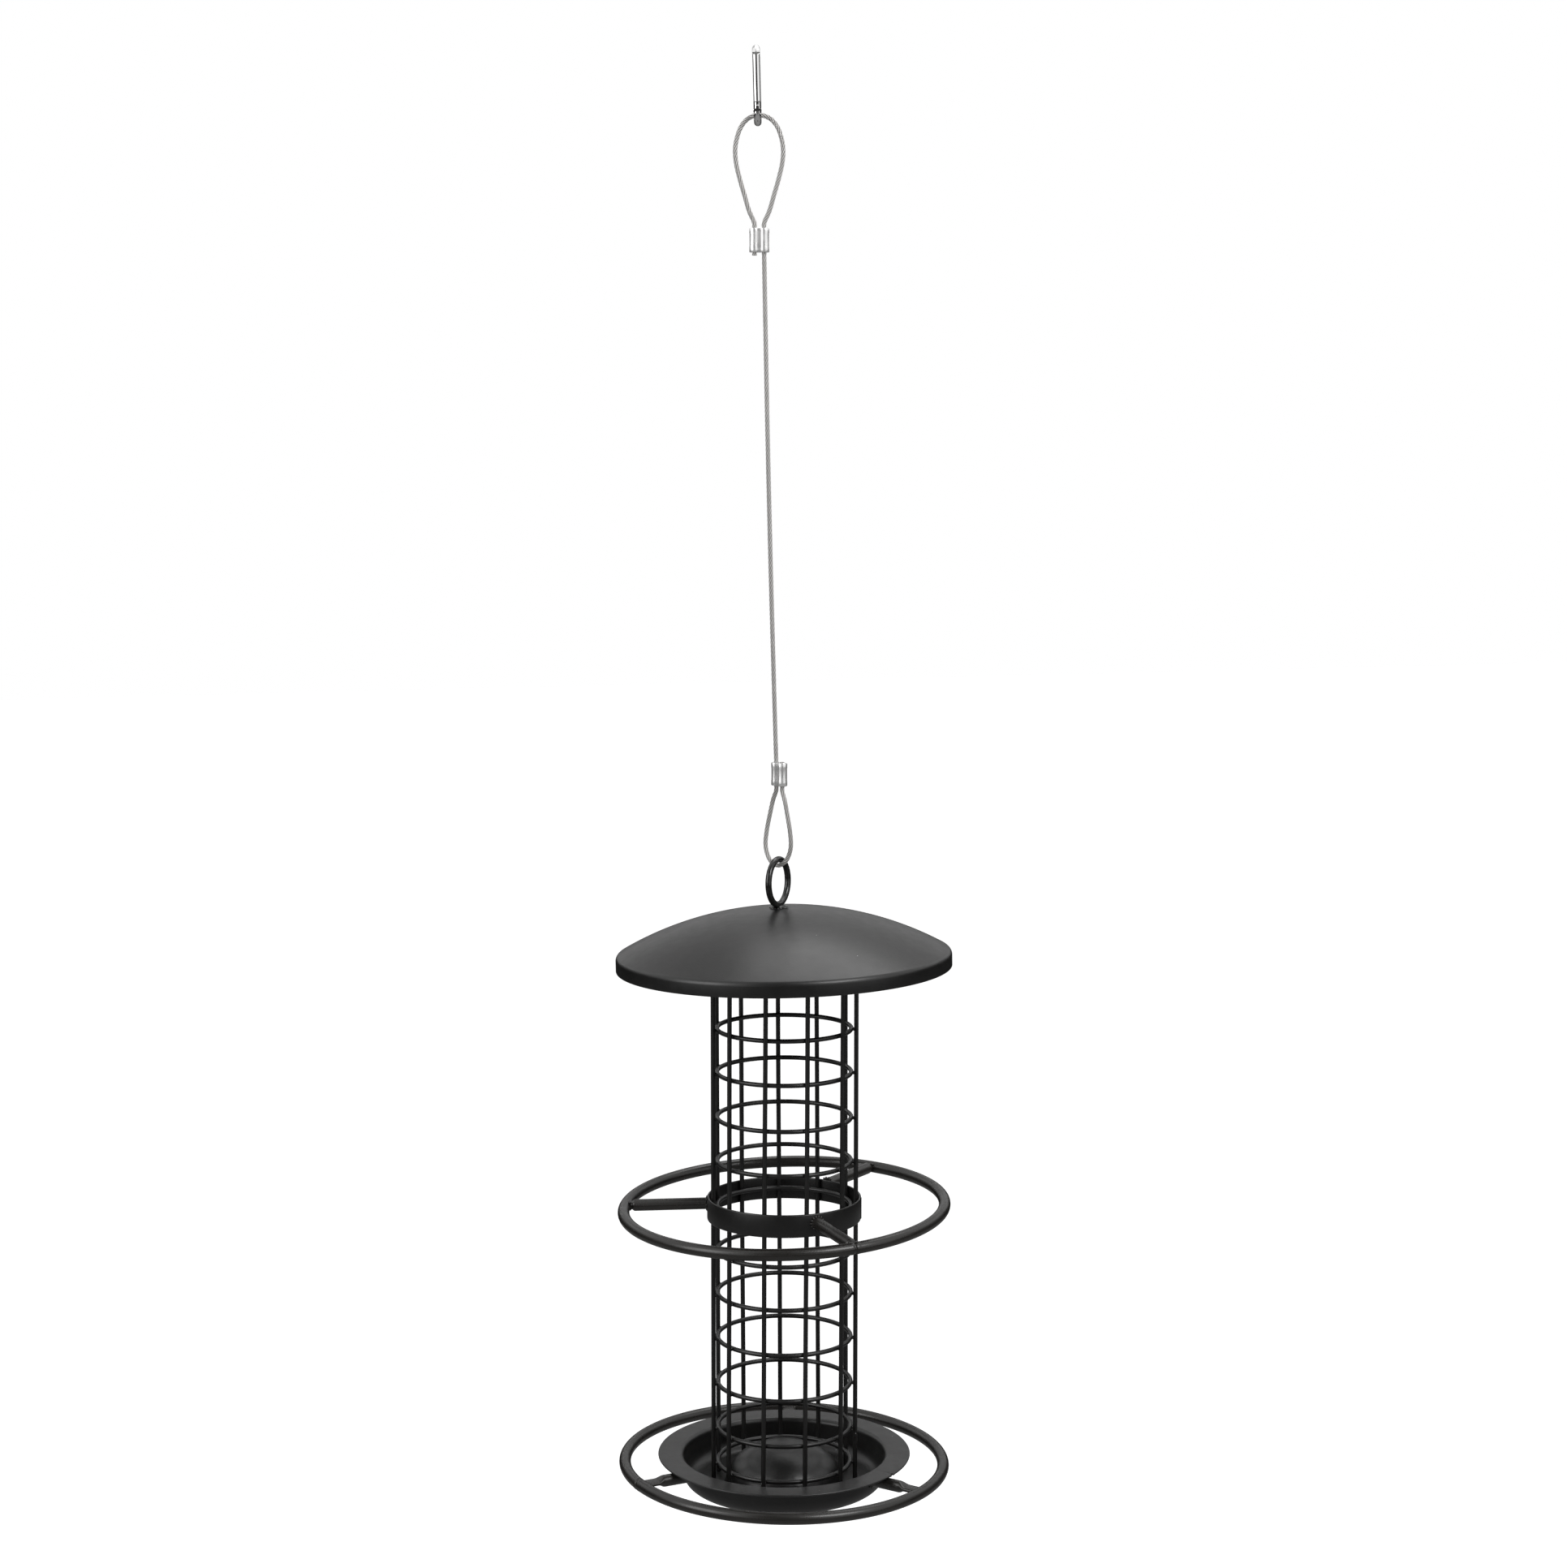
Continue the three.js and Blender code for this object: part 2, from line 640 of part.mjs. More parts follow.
// Whole feeder: the cable and all that it carries turn about the wire of the hook's bottom bend
const upperPerch = makePerch({
  prefix: 'upper',
  level: upperPerchRise - collarDrop,
  tilt: upperPerchTilt,
  sideTilt: upperPerchSideTilt,
  carrierRadius: collarInnerRadius + collarSheet,
  angles: upperSpokeAngles,
  spoke: {
    rise: upperSpokeRise,
    endRise: upperSpokeEndRise,
    crimp: upperCrimpLength,
    tongue: upperTongueLength,
    thickness: upperTongueThickness,
    width: upperTongueWidth,
  },
});
const lowerPerch = makePerch({
  prefix: 'lower',
  level: -trayRimDrop - lowerPerchSink,
  tilt: lowerPerchTilt,
  sideTilt: lowerPerchSideTilt,
  carrierRadius: trayRadius,
  angles: lowerSpokeAngles,
  spoke: {
    rise: 0,
    endRise: 0,
    crimp: lowerCrimpLength,
    tongue: lowerTongueLength,
    thickness: lowerTongueThickness,
    width: lowerTongueWidth,
  },
});

const hanging = group(
  makeCable(),
  makeLid(),
  makeUprights(),
  makeHoops(),
  makeBands(),
  upperPerch,
  makeTray(),
  lowerPerch,
);
const rockingLevel = hookLevel + hookWire / 2;
hanging.position.set(-upperFerruleX - hookShift, 0, -rockingLevel);
const leaning = group(hanging);
leaning.rotation.y = hangLean;
leaning.position.set(0, 0, hookWire + hookWire / 2 - hookHeight);

const snapHook = makeSnapHook();
snapHook.position.set(0, 0, hookWire - hookHeight);

export default group(snapHook, leaning);
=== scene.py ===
"""Hanging fat ball feeder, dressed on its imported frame, with a plain studio and the camera.

Sizes are in millimetres, as in the CAD source: +Z up, front to -Y. The snap hook stands in its
own frame. From the rope down, levels are counted from the lid's lower rim on the cage's axis.
put_up() scales each piece to metres and moves it to where the CAD stands. The studio is in metres.
"""
import math

import bmesh
import bpy
import numpy as np
from mathutils import Matrix, Vector, noise
from mathutils.geometry import tessellate_polygon


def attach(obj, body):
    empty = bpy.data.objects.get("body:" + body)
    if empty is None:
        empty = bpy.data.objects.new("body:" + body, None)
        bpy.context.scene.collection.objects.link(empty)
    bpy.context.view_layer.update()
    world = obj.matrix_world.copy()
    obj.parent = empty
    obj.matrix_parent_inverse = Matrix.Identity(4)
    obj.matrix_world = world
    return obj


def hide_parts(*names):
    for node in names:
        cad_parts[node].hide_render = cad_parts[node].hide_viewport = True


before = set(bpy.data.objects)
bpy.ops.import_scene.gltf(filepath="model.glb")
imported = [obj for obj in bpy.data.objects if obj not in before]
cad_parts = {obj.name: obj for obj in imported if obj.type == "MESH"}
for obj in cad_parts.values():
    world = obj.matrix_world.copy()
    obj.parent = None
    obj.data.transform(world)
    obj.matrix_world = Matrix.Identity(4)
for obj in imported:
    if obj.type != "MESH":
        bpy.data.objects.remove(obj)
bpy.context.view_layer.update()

MILLIMETRE = 0.001
MERGED = 2e-6  # metres within which points become one
SEAT_GAP = 0.3

# Lid, hanging ring
LID_RADIUS = 87.5
LID_HEIGHT = 31.1
LID_CROWN_RADIUS = 174
LID_FOLD_RADIUS = 3
LID_SHEET = 1
LID_TILT = math.radians(-1.2)
GRIP_GAP = 0.4
GRIP_SHEET = 0.9
GRIP_DROP = 2
GRIP_LAP = 0.2  # of the sprung collar into the lid's sheet
GRIP_EDGE = 0.3
RING_WIRE = 3.3
RING_OUTER_RADIUS = 13.4
RING_FOOT_X = -2.1
RING_TURN = math.radians(65)
RING_BEAD_SINK = 0.1
RING_BEADS = [  # (along the ring's plane, out from it, size)
    (0.0, 1.7, 1.9), (1.9, 1.6, 1.5), (-1.9, 1.7, 1.6), (0.9, 3.1, 1.5), (-1.0, 3.0, 1.3),
    (3.6, 2.4, 0.9), (-3.3, 2.6, 0.8), (0.2, 4.7, 0.8),
]

# Cage
HOOP_RADIUS = 35.05
HOOP_WIRE = 2.4
FIRST_HOOP_DROP = 8.2
LAST_PITCHED_HOOP_RISE = 14.5
BOTTOM_HOOP_SINK = 4.6
HOOP_SHIFT_SHARES = [0, 0.012, -0.016, -0.006, -0.024, -0.015, -0.012, -0.048, -0.042, -0.014, 0]
UPRIGHT_WIRE = 2.4
UPRIGHT_TOP = 8
UPRIGHT_EDGE = 0.4
UPRIGHT_WAVE = 0.08  # how far a wire strays from straight
UPRIGHT_WAVE_LENGTH = 31  # of a radian
UPRIGHT_WAVE_STEP = 2.3  # radians from one wire to the next
UPRIGHT_ANGLES = np.radians(
    [-48.7, -15.5, 17.7, 52.4, 84.5, 120, 151.7, 184, 216.5, 249.1, 281]
)
CAGE_TWIST = math.radians(2.4)
TOP_BAND_RISE = 1
TOP_BAND_HEIGHT = 13
TOP_BAND_EDGE = 0.4
BAND_SHEET = 1.2
COLLAR_DROP = 127.7
COLLAR_HEIGHT = 12
COLLAR_EDGE = 0.58
COLLAR_SEAM_ANGLE = math.radians(-4)
COLLAR_SEAM_RADIUS = 0.45
COLLAR_SEAM_SINK = 0.15
COLLAR_SEAM_INSET = 0.3  # of its ends from the strip's edges
COLLAR_SEAM_EDGE = 0.2

# Perches
PERCH_RADIUS = 84.3
PERCH_ROD = 6.2
UPPER_PERCH_RISE = 0.5
UPPER_PERCH = {"tilt": 1.85, "side_tilt": -1.6, "seam": 294.4, "spokes": (55, 175, 295)}  # degrees
LOWER_PERCH_SINK = 5
LOWER_PERCH = {"tilt": 0.3, "side_tilt": 0.7, "seam": 208, "spokes": (88, 208, 328)}
SEAM_WAVES = [(-0.1, 0, 0.45), (0.035, 1.6, 0.9)]  # (share of the thickness, place, width)
SEAM_REACH = 3.5  # of the finer mesh
SPOKE_ROD = 6.2
SPOKE_LAP = 0.35  # of a spoke's pressed end into its ring
SPOKE_ROOT = 0.2  # of its other end into what carries it
SPOKE_SQUARENESS = 1.2  # of a tongue that is wider than the rod
UPPER_SPOKE = {
    "rise": 1.4, "end_rise": 0.4, "crimp": 1.8, "tongue": 0.8, "thickness": 4.4, "width": 5,
}
LOWER_SPOKE = {
    "rise": 0, "end_rise": 0, "crimp": 4.5, "tongue": 6.5, "thickness": 2.4, "width": 7.4,
}
ROOT_BEADS = 14
ROOT_BEAD_PLACE = (0.25, 0.05)  # out from the carrier and from the rod's skin
TONGUE_BEADS = 5
TONGUE_BEAD_BACK = 0.15  # from the tongue's end
TONGUE_BEAD_RISE = 0.44  # of the tongue's thickness

# Tray
TRAY_RIM_DROP = 260.4
TRAY_RIM_WIDTH = 12.7
TRAY_TROUGH = 15.05
TRAY_DEPTH = 17.2
TRAY_SHEET = 1
TRAY_SHOULDER = 1.5
TRAY_CORNER = 8
TRAY_CENTRE_CLEARANCE = 2.85
TRAY_CENTRE_HEIGHT = 21
TRAY_HEM = 1.2  # from the rim's edge to where its flat begins
TRAY_FOOT = [(1.2, 0.02), (0.35, 0.25)]  # (out from the raised centre, up from the floor)
NICK_ANGLE = math.radians(328)
NICK_WIDTH = 2.4
NICK_DEPTH = 1.8
NICK_REACH = 3.2  # how far in from the rim the sheet is drawn along
NICK_CURL = 0.25  # how far it bends down there
NICK_CURL_WIDTH = 1.8  # in half widths of the nick
NICK_POWER = 1.6  # of its round outline
NICK_SPAN = 1.6  # of the finer mesh to each side, in widths of the nick

# Snap hook, in its own frame
HOOK_WIRE = 4
HOOK_HEIGHT = 40
HOOK_TOP_RADIUS = 7.5
HOOK_BOTTOM_RADIUS = 5.5
HOOK_NOSE_HEIGHT = 35.3
HOOK_SHIFT = -0.7
HOOK_EDGE = 0.3  # rounding of the wire's two ends
HOOK_TOP_TURN = 0.86 * math.pi  # where the top bend's nose begins to be held flat
HOOK_BOTTOM_TURN = -0.94 * math.pi  # and the bottom bend's shoulder
TAB_THICKNESS = 1.6
TAB_EDGE = 0.15
GATE_WIDTH = 3.8
GATE_DEPTH = 3.2
GATE_HINGE_HEIGHT = 7.4
GATE_HINGE_ADVANCE = 0.1
GATE_TOP_ADVANCE = 0.7
CHANNEL_RISE = 1.3  # of the channel's foot over the hook's wire
CHANNEL_DIP = 0.55  # of the middle of its upper end
CHANNEL_LIP = 0.2
CHANNEL_EDGE = 0.15
CHANNEL_SHADE = 0.25  # how far up from its foot the painted shade of the hinge reaches
EAR_LAP = 0.2  # of the ears into the channel
EAR_EDGE = 0.12
PIN_DIAMETER = 1.6
PIN_HEAD = [  # (out from the ear, share of the pin's radius)
    (-0.05, 1), (0, 1.25), (0.15, 1.15), (0.25, 0.7), (0.29, 0.2),
]
LEAF_WIDTH = 1.4
LEAF_THICKNESS = 0.4
LEAF_LENGTH = 14
LEAF_EDGE = 0.08

# Rope and ferrules
ROPE_DIAMETER = 2.4
ROPE_LAY = 14.4  # one turn of a strand
ROPE_STRANDS = 6
ROPE_STEPS = 18  # rings of the mesh in one turn of a strand
STRAND_STEPS = 7  # points on a strand's outside
STRAND_ARC = 240  # degrees of a strand's round that lie outside
LOWER_LOOP_HEIGHT = 41.6
LOWER_LOOP_HALF_WIDTH = 7.7
LOWER_FERRULE = (-2.5, math.radians(-51))  # X and turn about Z
ROPE_RUN = 259.7
ROPE_BOW = 0.5
RUN_STEPS = 12
UPPER_FERRULE = (-12.55, 0.0)
UPPER_LOOP_HEIGHT = 56.1
UPPER_LOOP_HALF_WIDTH = 12.1
FERRULE_LENGTH = 12
FERRULE_EDGE = 0.35
FERRULE_PRESS = 0.1  # how far the die pressed the middle in
FERRULE_PRESS_SPAN = (2.2, 3.2)  # from an end, where that begins and is full
BARREL_RADIUS = 2.65
BARREL_ARC = math.radians(118)  # half of what stays round of each barrel
CREASE_DEPTH = 0.25
CREASE_ADVANCE = 0.2  # from the barrel's edge towards the middle
WAIST_RISE = 0.2
BORE_OFFSET = 2.45
BORE_GAP = 0.12
UPPER_TAIL = 1.6
LOWER_TAIL = 0.5
UPPER_LOOP_SHARES = [
    (0.153, 0.42), (0.301, 0.625), (0.453, 0.83), (0.581, 0.963),
    (0.697, 1), (0.807, 0.915), (0.904, 0.735), (0.97, 0.45),
]
LOWER_LOOP_SHARES = [
    (0.176, 0.56), (0.366, 0.79), (0.588, 0.98), (0.744, 1), (0.86, 0.83), (0.95, 0.53),
]

HANG_LEAN = math.radians(1.369)  # of all below the hook

# Weld beads: (half sizes, unevenness, steps round and down)
RING_BEAD = ((1.15, 0.95, 0.85), 0.35, (16, 10))
NUGGET = ((1.05, 0.7, 0.95), 0.25, (10, 6))
ROOT_BEAD = ((0.6, 0.95, 0.6), 0.25, (10, 7))
TONGUE_BEAD = ((0.6, 0.9, 0.45), 0.2, (10, 7))

# Mesh counts: segments of a ring, sides of a wire, steps of a curve
LID_SEGMENTS, DOME_STEPS, FOLD_STEPS, HEM_STEPS = 288, 48, 10, 8
BAND_SEGMENTS, BAND_EDGE_STEPS = 192, 4
RING_SEGMENTS, RING_SIDES = 128, 28
UPRIGHT_STEPS, UPRIGHT_SIDES = 40, 20
HOOP_SEGMENTS, HOOP_SIDES = 144, 16
PERCH_SEGMENTS, PERCH_SIDES, SEAM_STEPS = 240, 28, 25
SPOKE_SIDES, CRIMP_STEPS = 32, 10
TRAY_SEGMENTS, NICK_STEPS = 240, 33
SHOULDER_STEPS, CORNER_STEPS, CENTRE_STEPS = 10, 12, 28
HOOK_SIDES, TOP_BEND_STEPS, BOTTOM_BEND_STEPS, TAB_STEPS = 40, 64, 56, 20
CHANNEL_STEPS, CHANNEL_ROUND_STEPS, SLOT_STEPS, EAR_STEPS = 12, 32, 20, 24
BARREL_STEPS, BORE_STEPS, PIN_SIDES, SEAM_SIDES = 32, 24, 24, 12
LOOP_SPAN_STEPS, CLOTH_STEPS, CROWN_STEPS = 24, 48, 24

# Camera, in the feeder's own frame
CAMERA_LENS = 66.909
CAMERA_SENSOR = 36
CAMERA_CLIP = (0.01, 60)  # metres
CAMERA_PLACE = (-0.3, -1495.5, 269.87)
CAMERA_DIP = 6.638  # degrees below level


def about(axis, angle):
    return Matrix.Rotation(angle, 4, axis)


def shifted(x=0, y=0, z=0):
    return Matrix.Translation((x, y, z))


# Levels that follow from the sizes
DOME_CENTRE = LID_HEIGHT - LID_CROWN_RADIUS
UPRIGHT_RADIUS = HOOP_RADIUS + HOOP_WIRE / 2 + SEAT_GAP + UPRIGHT_WIRE / 2
CAGE_RADIUS = UPRIGHT_RADIUS + UPRIGHT_WIRE / 2
COLLAR_INNER_RADIUS = CAGE_RADIUS + SEAT_GAP
COLLAR_OUTER_RADIUS = COLLAR_INNER_RADIUS + BAND_SHEET
RING_FOOT_LEVEL = DOME_CENTRE + math.sqrt(LID_CROWN_RADIUS ** 2 - RING_FOOT_X ** 2)
RING_CENTRE_LEVEL = RING_FOOT_LEVEL + SEAT_GAP + RING_OUTER_RADIUS
TRAY_RADIUS = CAGE_RADIUS + TRAY_TROUGH
TRAY_RIM_RADIUS = TRAY_RADIUS + TRAY_RIM_WIDTH
TRAY_CENTRE_RADIUS = HOOP_RADIUS - HOOP_WIRE / 2 - TRAY_CENTRE_CLEARANCE
TRAY_FLOOR = TRAY_SHEET - TRAY_RIM_DROP - TRAY_DEPTH

ring_top = about("Y", LID_TILT) @ Vector((
    RING_FOOT_X, 0, RING_CENTRE_LEVEL + RING_OUTER_RADIUS - RING_WIRE,
))
LOWER_LOOP_END = ring_top.z - SEAT_GAP - ROPE_DIAMETER / 2
LOWER_FERRULE_LOW = LOWER_LOOP_END + LOWER_LOOP_HEIGHT
LOWER_FERRULE_HIGH = LOWER_FERRULE_LOW + FERRULE_LENGTH
UPPER_FERRULE_LOW = LOWER_FERRULE_HIGH + ROPE_RUN
UPPER_FERRULE_HIGH = UPPER_FERRULE_LOW + FERRULE_LENGTH
UPPER_LOOP_END = UPPER_FERRULE_HIGH + UPPER_LOOP_HEIGHT
HOOK_LEVEL = UPPER_LOOP_END - ROPE_DIAMETER / 2 - SEAT_GAP - HOOK_WIRE

# Where things stand: the hook upright, the rest turned about the wire of the hook's bottom bend
upright = shifted(z=HOOK_WIRE - HOOK_HEIGHT)
hung = shifted(z=HOOK_WIRE + HOOK_WIRE / 2 - HOOK_HEIGHT) @ about("Y", HANG_LEAN) @ shifted(
    x=-UPPER_FERRULE[0] - HOOK_SHIFT, z=-HOOK_LEVEL - HOOK_WIRE / 2,
)
stands = {"hook": upright, "gate": upright, "cable": hung, "lid": hung, "cage": hung}


def new_object(name, data):
    made = bpy.data.objects.new(name, data)
    bpy.context.scene.collection.objects.link(made)
    return made


# Camera, at the photograph's angle, which turned with the feeder

def make_camera():
    data = bpy.data.cameras.new("camera")
    data.lens = CAMERA_LENS
    data.sensor_width = CAMERA_SENSOR
    data.clip_start, data.clip_end = CAMERA_CLIP
    camera = new_object("camera", data)
    place = hung @ shifted(*CAMERA_PLACE) @ about("X", math.radians(90 - CAMERA_DIP))
    place.translation *= MILLIMETRE
    camera.matrix_world = place
    bpy.context.scene.camera = camera


# Materials

class Nodes:
    """A short hand for the node tree of a material or the world."""

    def __init__(self, owner, shader="Principled BSDF"):
        self.owner = owner
        owner.use_nodes = True
        self.tree = owner.node_tree
        self.shader = self.tree.nodes[shader]
        self.place = self.add("TexCoord").outputs["Object"]

    def add(self, kind, **values):
        """Adds a node; each value goes to its property of that name, or else to its input."""
        node = self.tree.nodes.new("ShaderNode" + kind)
        for key, value in values.items():
            if hasattr(node, key):
                setattr(node, key, value)
            else:
                self.put(value, node.inputs[key.replace("_", " ").title()])
        return node

    def put(self, value, socket):
        if isinstance(value, bpy.types.NodeSocket):
            self.tree.links.new(value, socket)
        else:
            socket.default_value = value

    def math(self, operation, first, second=0.0):
        node = self.add("Math", operation=operation)
        self.put(first, node.inputs[0])
        self.put(second, node.inputs[1])
        return node.outputs[0]

    def noise(self, size, detail=3.0, stretch=(1, 1, 1)):
        """Noise whose waves are about `size` millimetres, stretched by shares along X, Y and Z."""
        mapping = self.add("Mapping")
        self.put(self.place, mapping.inputs["Vector"])
        mapping.inputs["Scale"].default_value = stretch
        node = self.add("TexNoise", scale=1 / (size * MILLIMETRE), detail=detail)
        self.put(mapping.outputs[0], node.inputs["Vector"])
        return node.outputs["Fac"]

    def spread(self, value, low, high, out_low, out_high):
        node = self.add("MapRange")
        node.clamp = True
        for socket, number in zip(node.inputs, (value, low, high, out_low, out_high)):
            self.put(number, socket)
        return node.outputs[0]

    def mix(self, share, first, second):
        node = self.add("Mix", data_type="RGBA")
        self.put(share, node.inputs[0])
        self.put(first, node.inputs[6])
        self.put(second, node.inputs[7])
        return node.outputs[2]

    def bump(self, height, depth, strength=1.0, normal=None):
        """A bump `depth` millimetres deep."""
        node = self.add("Bump", strength=strength, distance=depth * MILLIMETRE)
        self.put(height, node.inputs["Height"])
        if normal is not None:
            self.put(normal, node.inputs["Normal"])
        return node.outputs["Normal"]

    def finish(self, **sockets):
        for key, value in sockets.items():
            self.put(value, self.shader.inputs[key.replace("_", " ").title()])
        return self.owner


def material_nodes(name):
    return Nodes(bpy.data.materials.new(name))


def grey(value, warm=0.0):
    return (value * (1 + warm), value, value * (1 - warm), 1)


# Waves of the coat, in millimetres
COAT_CLOUD, COAT_SMEAR, COAT_PEEL, COAT_GRAIN = 22, 6, 1.6, 0.28
COAT_GRAIN_SHARE = 0.24  # of the peel's depth
DUST_CELL = 5
DUST_SIZE = 0.05  # of a speck, as a share of its cell
DUST_FREE_SHARE = 0.955  # of the cells
DUST_TONE = 0.32


def coat_material(name, dark, light, roughness, warm=0.0, depth=0.02):
    """Powder coat: near black, a fine orange peel, cloudy sheen and a few pale specks of dust."""
    n = material_nodes(name)
    cloud = n.noise(COAT_CLOUD, 4)
    colour = n.mix(n.spread(cloud, 0.35, 0.65, 0, 1), grey(dark, warm), grey(light, warm))
    cells = n.add("TexVoronoi", scale=1 / (DUST_CELL * MILLIMETRE), randomness=1.0)
    n.put(n.place, cells.inputs["Vector"])
    pick = n.add("SeparateColor")
    n.put(cells.outputs["Color"], pick.inputs[0])
    near = n.math("LESS_THAN", cells.outputs["Distance"], DUST_SIZE)
    speck = n.math("MULTIPLY", near, n.math("GREATER_THAN", pick.outputs[0], DUST_FREE_SHARE))
    colour = n.mix(speck, colour, grey(DUST_TONE))
    peel = n.bump(n.noise(COAT_PEEL, 2), depth)
    grain = n.bump(n.noise(COAT_GRAIN, 2), COAT_GRAIN_SHARE * depth, normal=peel)
    smear = n.noise(COAT_SMEAR, 4)
    rough = n.spread(smear, 0.3, 0.7, roughness - 0.02, roughness + 0.03)
    return n.finish(base_color=colour, roughness=rough, normal=grain)


HAZE = 3.5  # waves on bright metal, in millimetres
SCRATCH = 0.22
# Painted shade at the hinge of the snap hook: its tone and roughness
SHADE_TONE = 0.07
SHADE_ROUGHNESS = 0.4


def polished_material(name, level, roughness, scratch, stretch, metallic=1.0):
    """Bright metal with drawn scratches one way and a faint haze, and painted shade, dark and dull,
    where it is marked.
    """
    n = material_nodes(name)
    haze = n.noise(HAZE, 3)
    colour = n.mix(haze, grey(level), grey(level * 0.93, 0.01))
    lines = n.noise(SCRATCH, 2, stretch)
    rough = n.spread(haze, 0.3, 0.7, roughness * 0.8, roughness * 1.3)
    # Painted shade: the marked hinge turns dark and dull
    painted_shade = n.add("Attribute", attribute_name="painted_shade").outputs["Fac"]
    return n.finish(
        base_color=n.mix(painted_shade, colour, grey(SHADE_TONE, 0.02)),
        roughness=n.spread(painted_shade, 0, 1, rough, SHADE_ROUGHNESS),
        metallic=metallic,
        normal=n.bump(lines, scratch),
    )


ROPE_WIRES = 30  # that show round the rope
WIRE_DEPTH = 0.05
ROPE_TONES = (grey(0.74, 0.02), grey(0.62, 0.025))
# Painted shade in the creases between wires
WIRE_CREASE_SHADE = grey(0.42, 0.02)
# Painted shade deep in the grooves between strands
STRAND_GROOVE_SHADE = grey(0.07, 0.02)


def rope_material():
    """Steel wires laid in strands, with painted shade in the grooves between strands and in the
    creases between wires; the UV map runs along the rope in mm and round it in turns.
    """
    n = material_nodes("rope_steel")
    spot = n.add("UVMap", uv_map="lay").outputs[0]
    parts = n.add("SeparateXYZ")
    n.put(spot, parts.inputs[0])
    wires = n.math("SINE", n.math("MULTIPLY", parts.outputs[1], ROPE_WIRES * 2 * math.pi))
    # How deep the point lies between strands, which sets the painted shade in the grooves
    depth = n.add("Attribute", attribute_name="groove_shade").outputs["Fac"]
    tone = n.mix(n.noise(4, 3), *ROPE_TONES)
    # Painted shade: the colour darkens in the creases between wires
    tone = n.mix(n.spread(wires, -1, -0.2, 0.3, 0), tone, WIRE_CREASE_SHADE)
    # Painted shade: the colour darkens deep in the grooves between strands
    tone = n.mix(depth, tone, STRAND_GROOVE_SHADE)
    return n.finish(
        base_color=tone,
        roughness=n.spread(n.noise(1.5, 2), 0.3, 0.7, 0.32, 0.44),
        metallic=0.45,
        normal=n.bump(wires, WIRE_DEPTH, 0.8),
    )


# Outlines and bodies: a body is (points, faces)

def arc(centre_x, centre_y, radius, start, end, steps):
    angles = np.linspace(start, end, steps + 1)
    return [(centre_x + radius * math.cos(a), centre_y + radius * math.sin(a)) for a in angles]


def grid_faces(rows, columns, wrap_rows=False, wrap_columns=True):
    faces = []
    for i in range(rows if wrap_rows else rows - 1):
        for j in range(columns if wrap_columns else columns - 1):
            right = (j + 1) % columns
            below = (i + 1) % rows
            faces.append((
                i * columns + j, i * columns + right, below * columns + right, below * columns + j,
            ))
    return faces


def joined(*bodies):
    points, faces, offset = [], [], 0
    for body_points, body_faces in bodies:
        points.append(np.asarray(body_points, float))
        faces += [tuple(v + offset for v in face) for face in body_faces]
        offset += len(body_points)
    return np.vstack(points), faces


def moved(body, matrix):
    points, faces = body
    matrix = np.array(matrix)
    return np.asarray(points, float) @ matrix[:3, :3].T + matrix[:3, 3], faces


def lathe(outline, angles):
    """A closed outline of (radius, level) turned about Z through the listed angles."""
    points = [(r * math.cos(a), r * math.sin(a), z) for a in angles for r, z in outline]
    return np.array(points), grid_faces(len(angles), len(outline), wrap_rows=True)


def even_angles(count):
    return np.arange(count) * 2 * math.pi / count


def band(inner, outer, low, high, edge):
    """A flat strip bent round, with softly rounded edges."""
    corners = ((outer, low, -1, 1), (outer, high, -1, -1), (inner, high, 1, -1), (inner, low, 1, 1))
    outline = []
    for i, (radius, level, inward, up) in enumerate(corners):
        start = (i - 1) * math.pi / 2
        outline += arc(
            radius + inward * edge, level + up * edge, edge, start, start + math.pi / 2,
            BAND_EDGE_STEPS,
        )
    return lathe(outline, even_angles(BAND_SEGMENTS))


def stacked(rings, cap=True):
    """A body through rings of equal point counts, its two ends closed flat or left open."""
    count = len(rings[0])
    faces = grid_faces(len(rings), count)
    if cap:
        faces.append(tuple(reversed(range(count))))
        last = (len(rings) - 1) * count
        faces.append(tuple(range(last, last + count)))
    return np.array(rings, float).reshape(-1, 3), faces


def travelled(path):
    """Distance along a path at each of its points."""
    path = np.asarray(path, float)
    return np.concatenate([[0], np.cumsum(np.linalg.norm(np.diff(path, axis=0), axis=1))])


def at_places(path, places):
    """The path's points at the listed distances along it."""
    path = np.asarray(path, float)
    length = travelled(path)
    return np.array([np.interp(places, length, path[:, k]) for k in range(3)]).T


def resampled(path, spacing):
    whole = travelled(path)[-1]
    return at_places(path, np.linspace(0, whole, int(round(whole / spacing)) + 1))


def carried_frames(path):
    """Unit tangent and two side directions at each point, carried along without twist."""
    tangents = np.gradient(path, axis=0)
    tangents /= np.linalg.norm(tangents, axis=1)[:, None]
    side = np.cross(tangents[0], (0, 1, 0) if abs(tangents[0][1]) < 0.9 else (1, 0, 0))
    sides = []
    for tangent in tangents:
        side = side - tangent * (side @ tangent)
        side = side / np.linalg.norm(side)
        sides.append(side)
    sides = np.array(sides)
    return tangents, sides, np.cross(tangents, sides)


def swept(path, radii, sides_count):
    """A round rod along an open path, with one radius for each of its points."""
    _, side, other = carried_frames(path)
    turn = even_angles(sides_count)
    return stacked([
        centre + radius * (np.outer(np.cos(turn), a) + np.outer(np.sin(turn), b))
        for centre, radius, a, b in zip(path, radii, side, other)
    ])


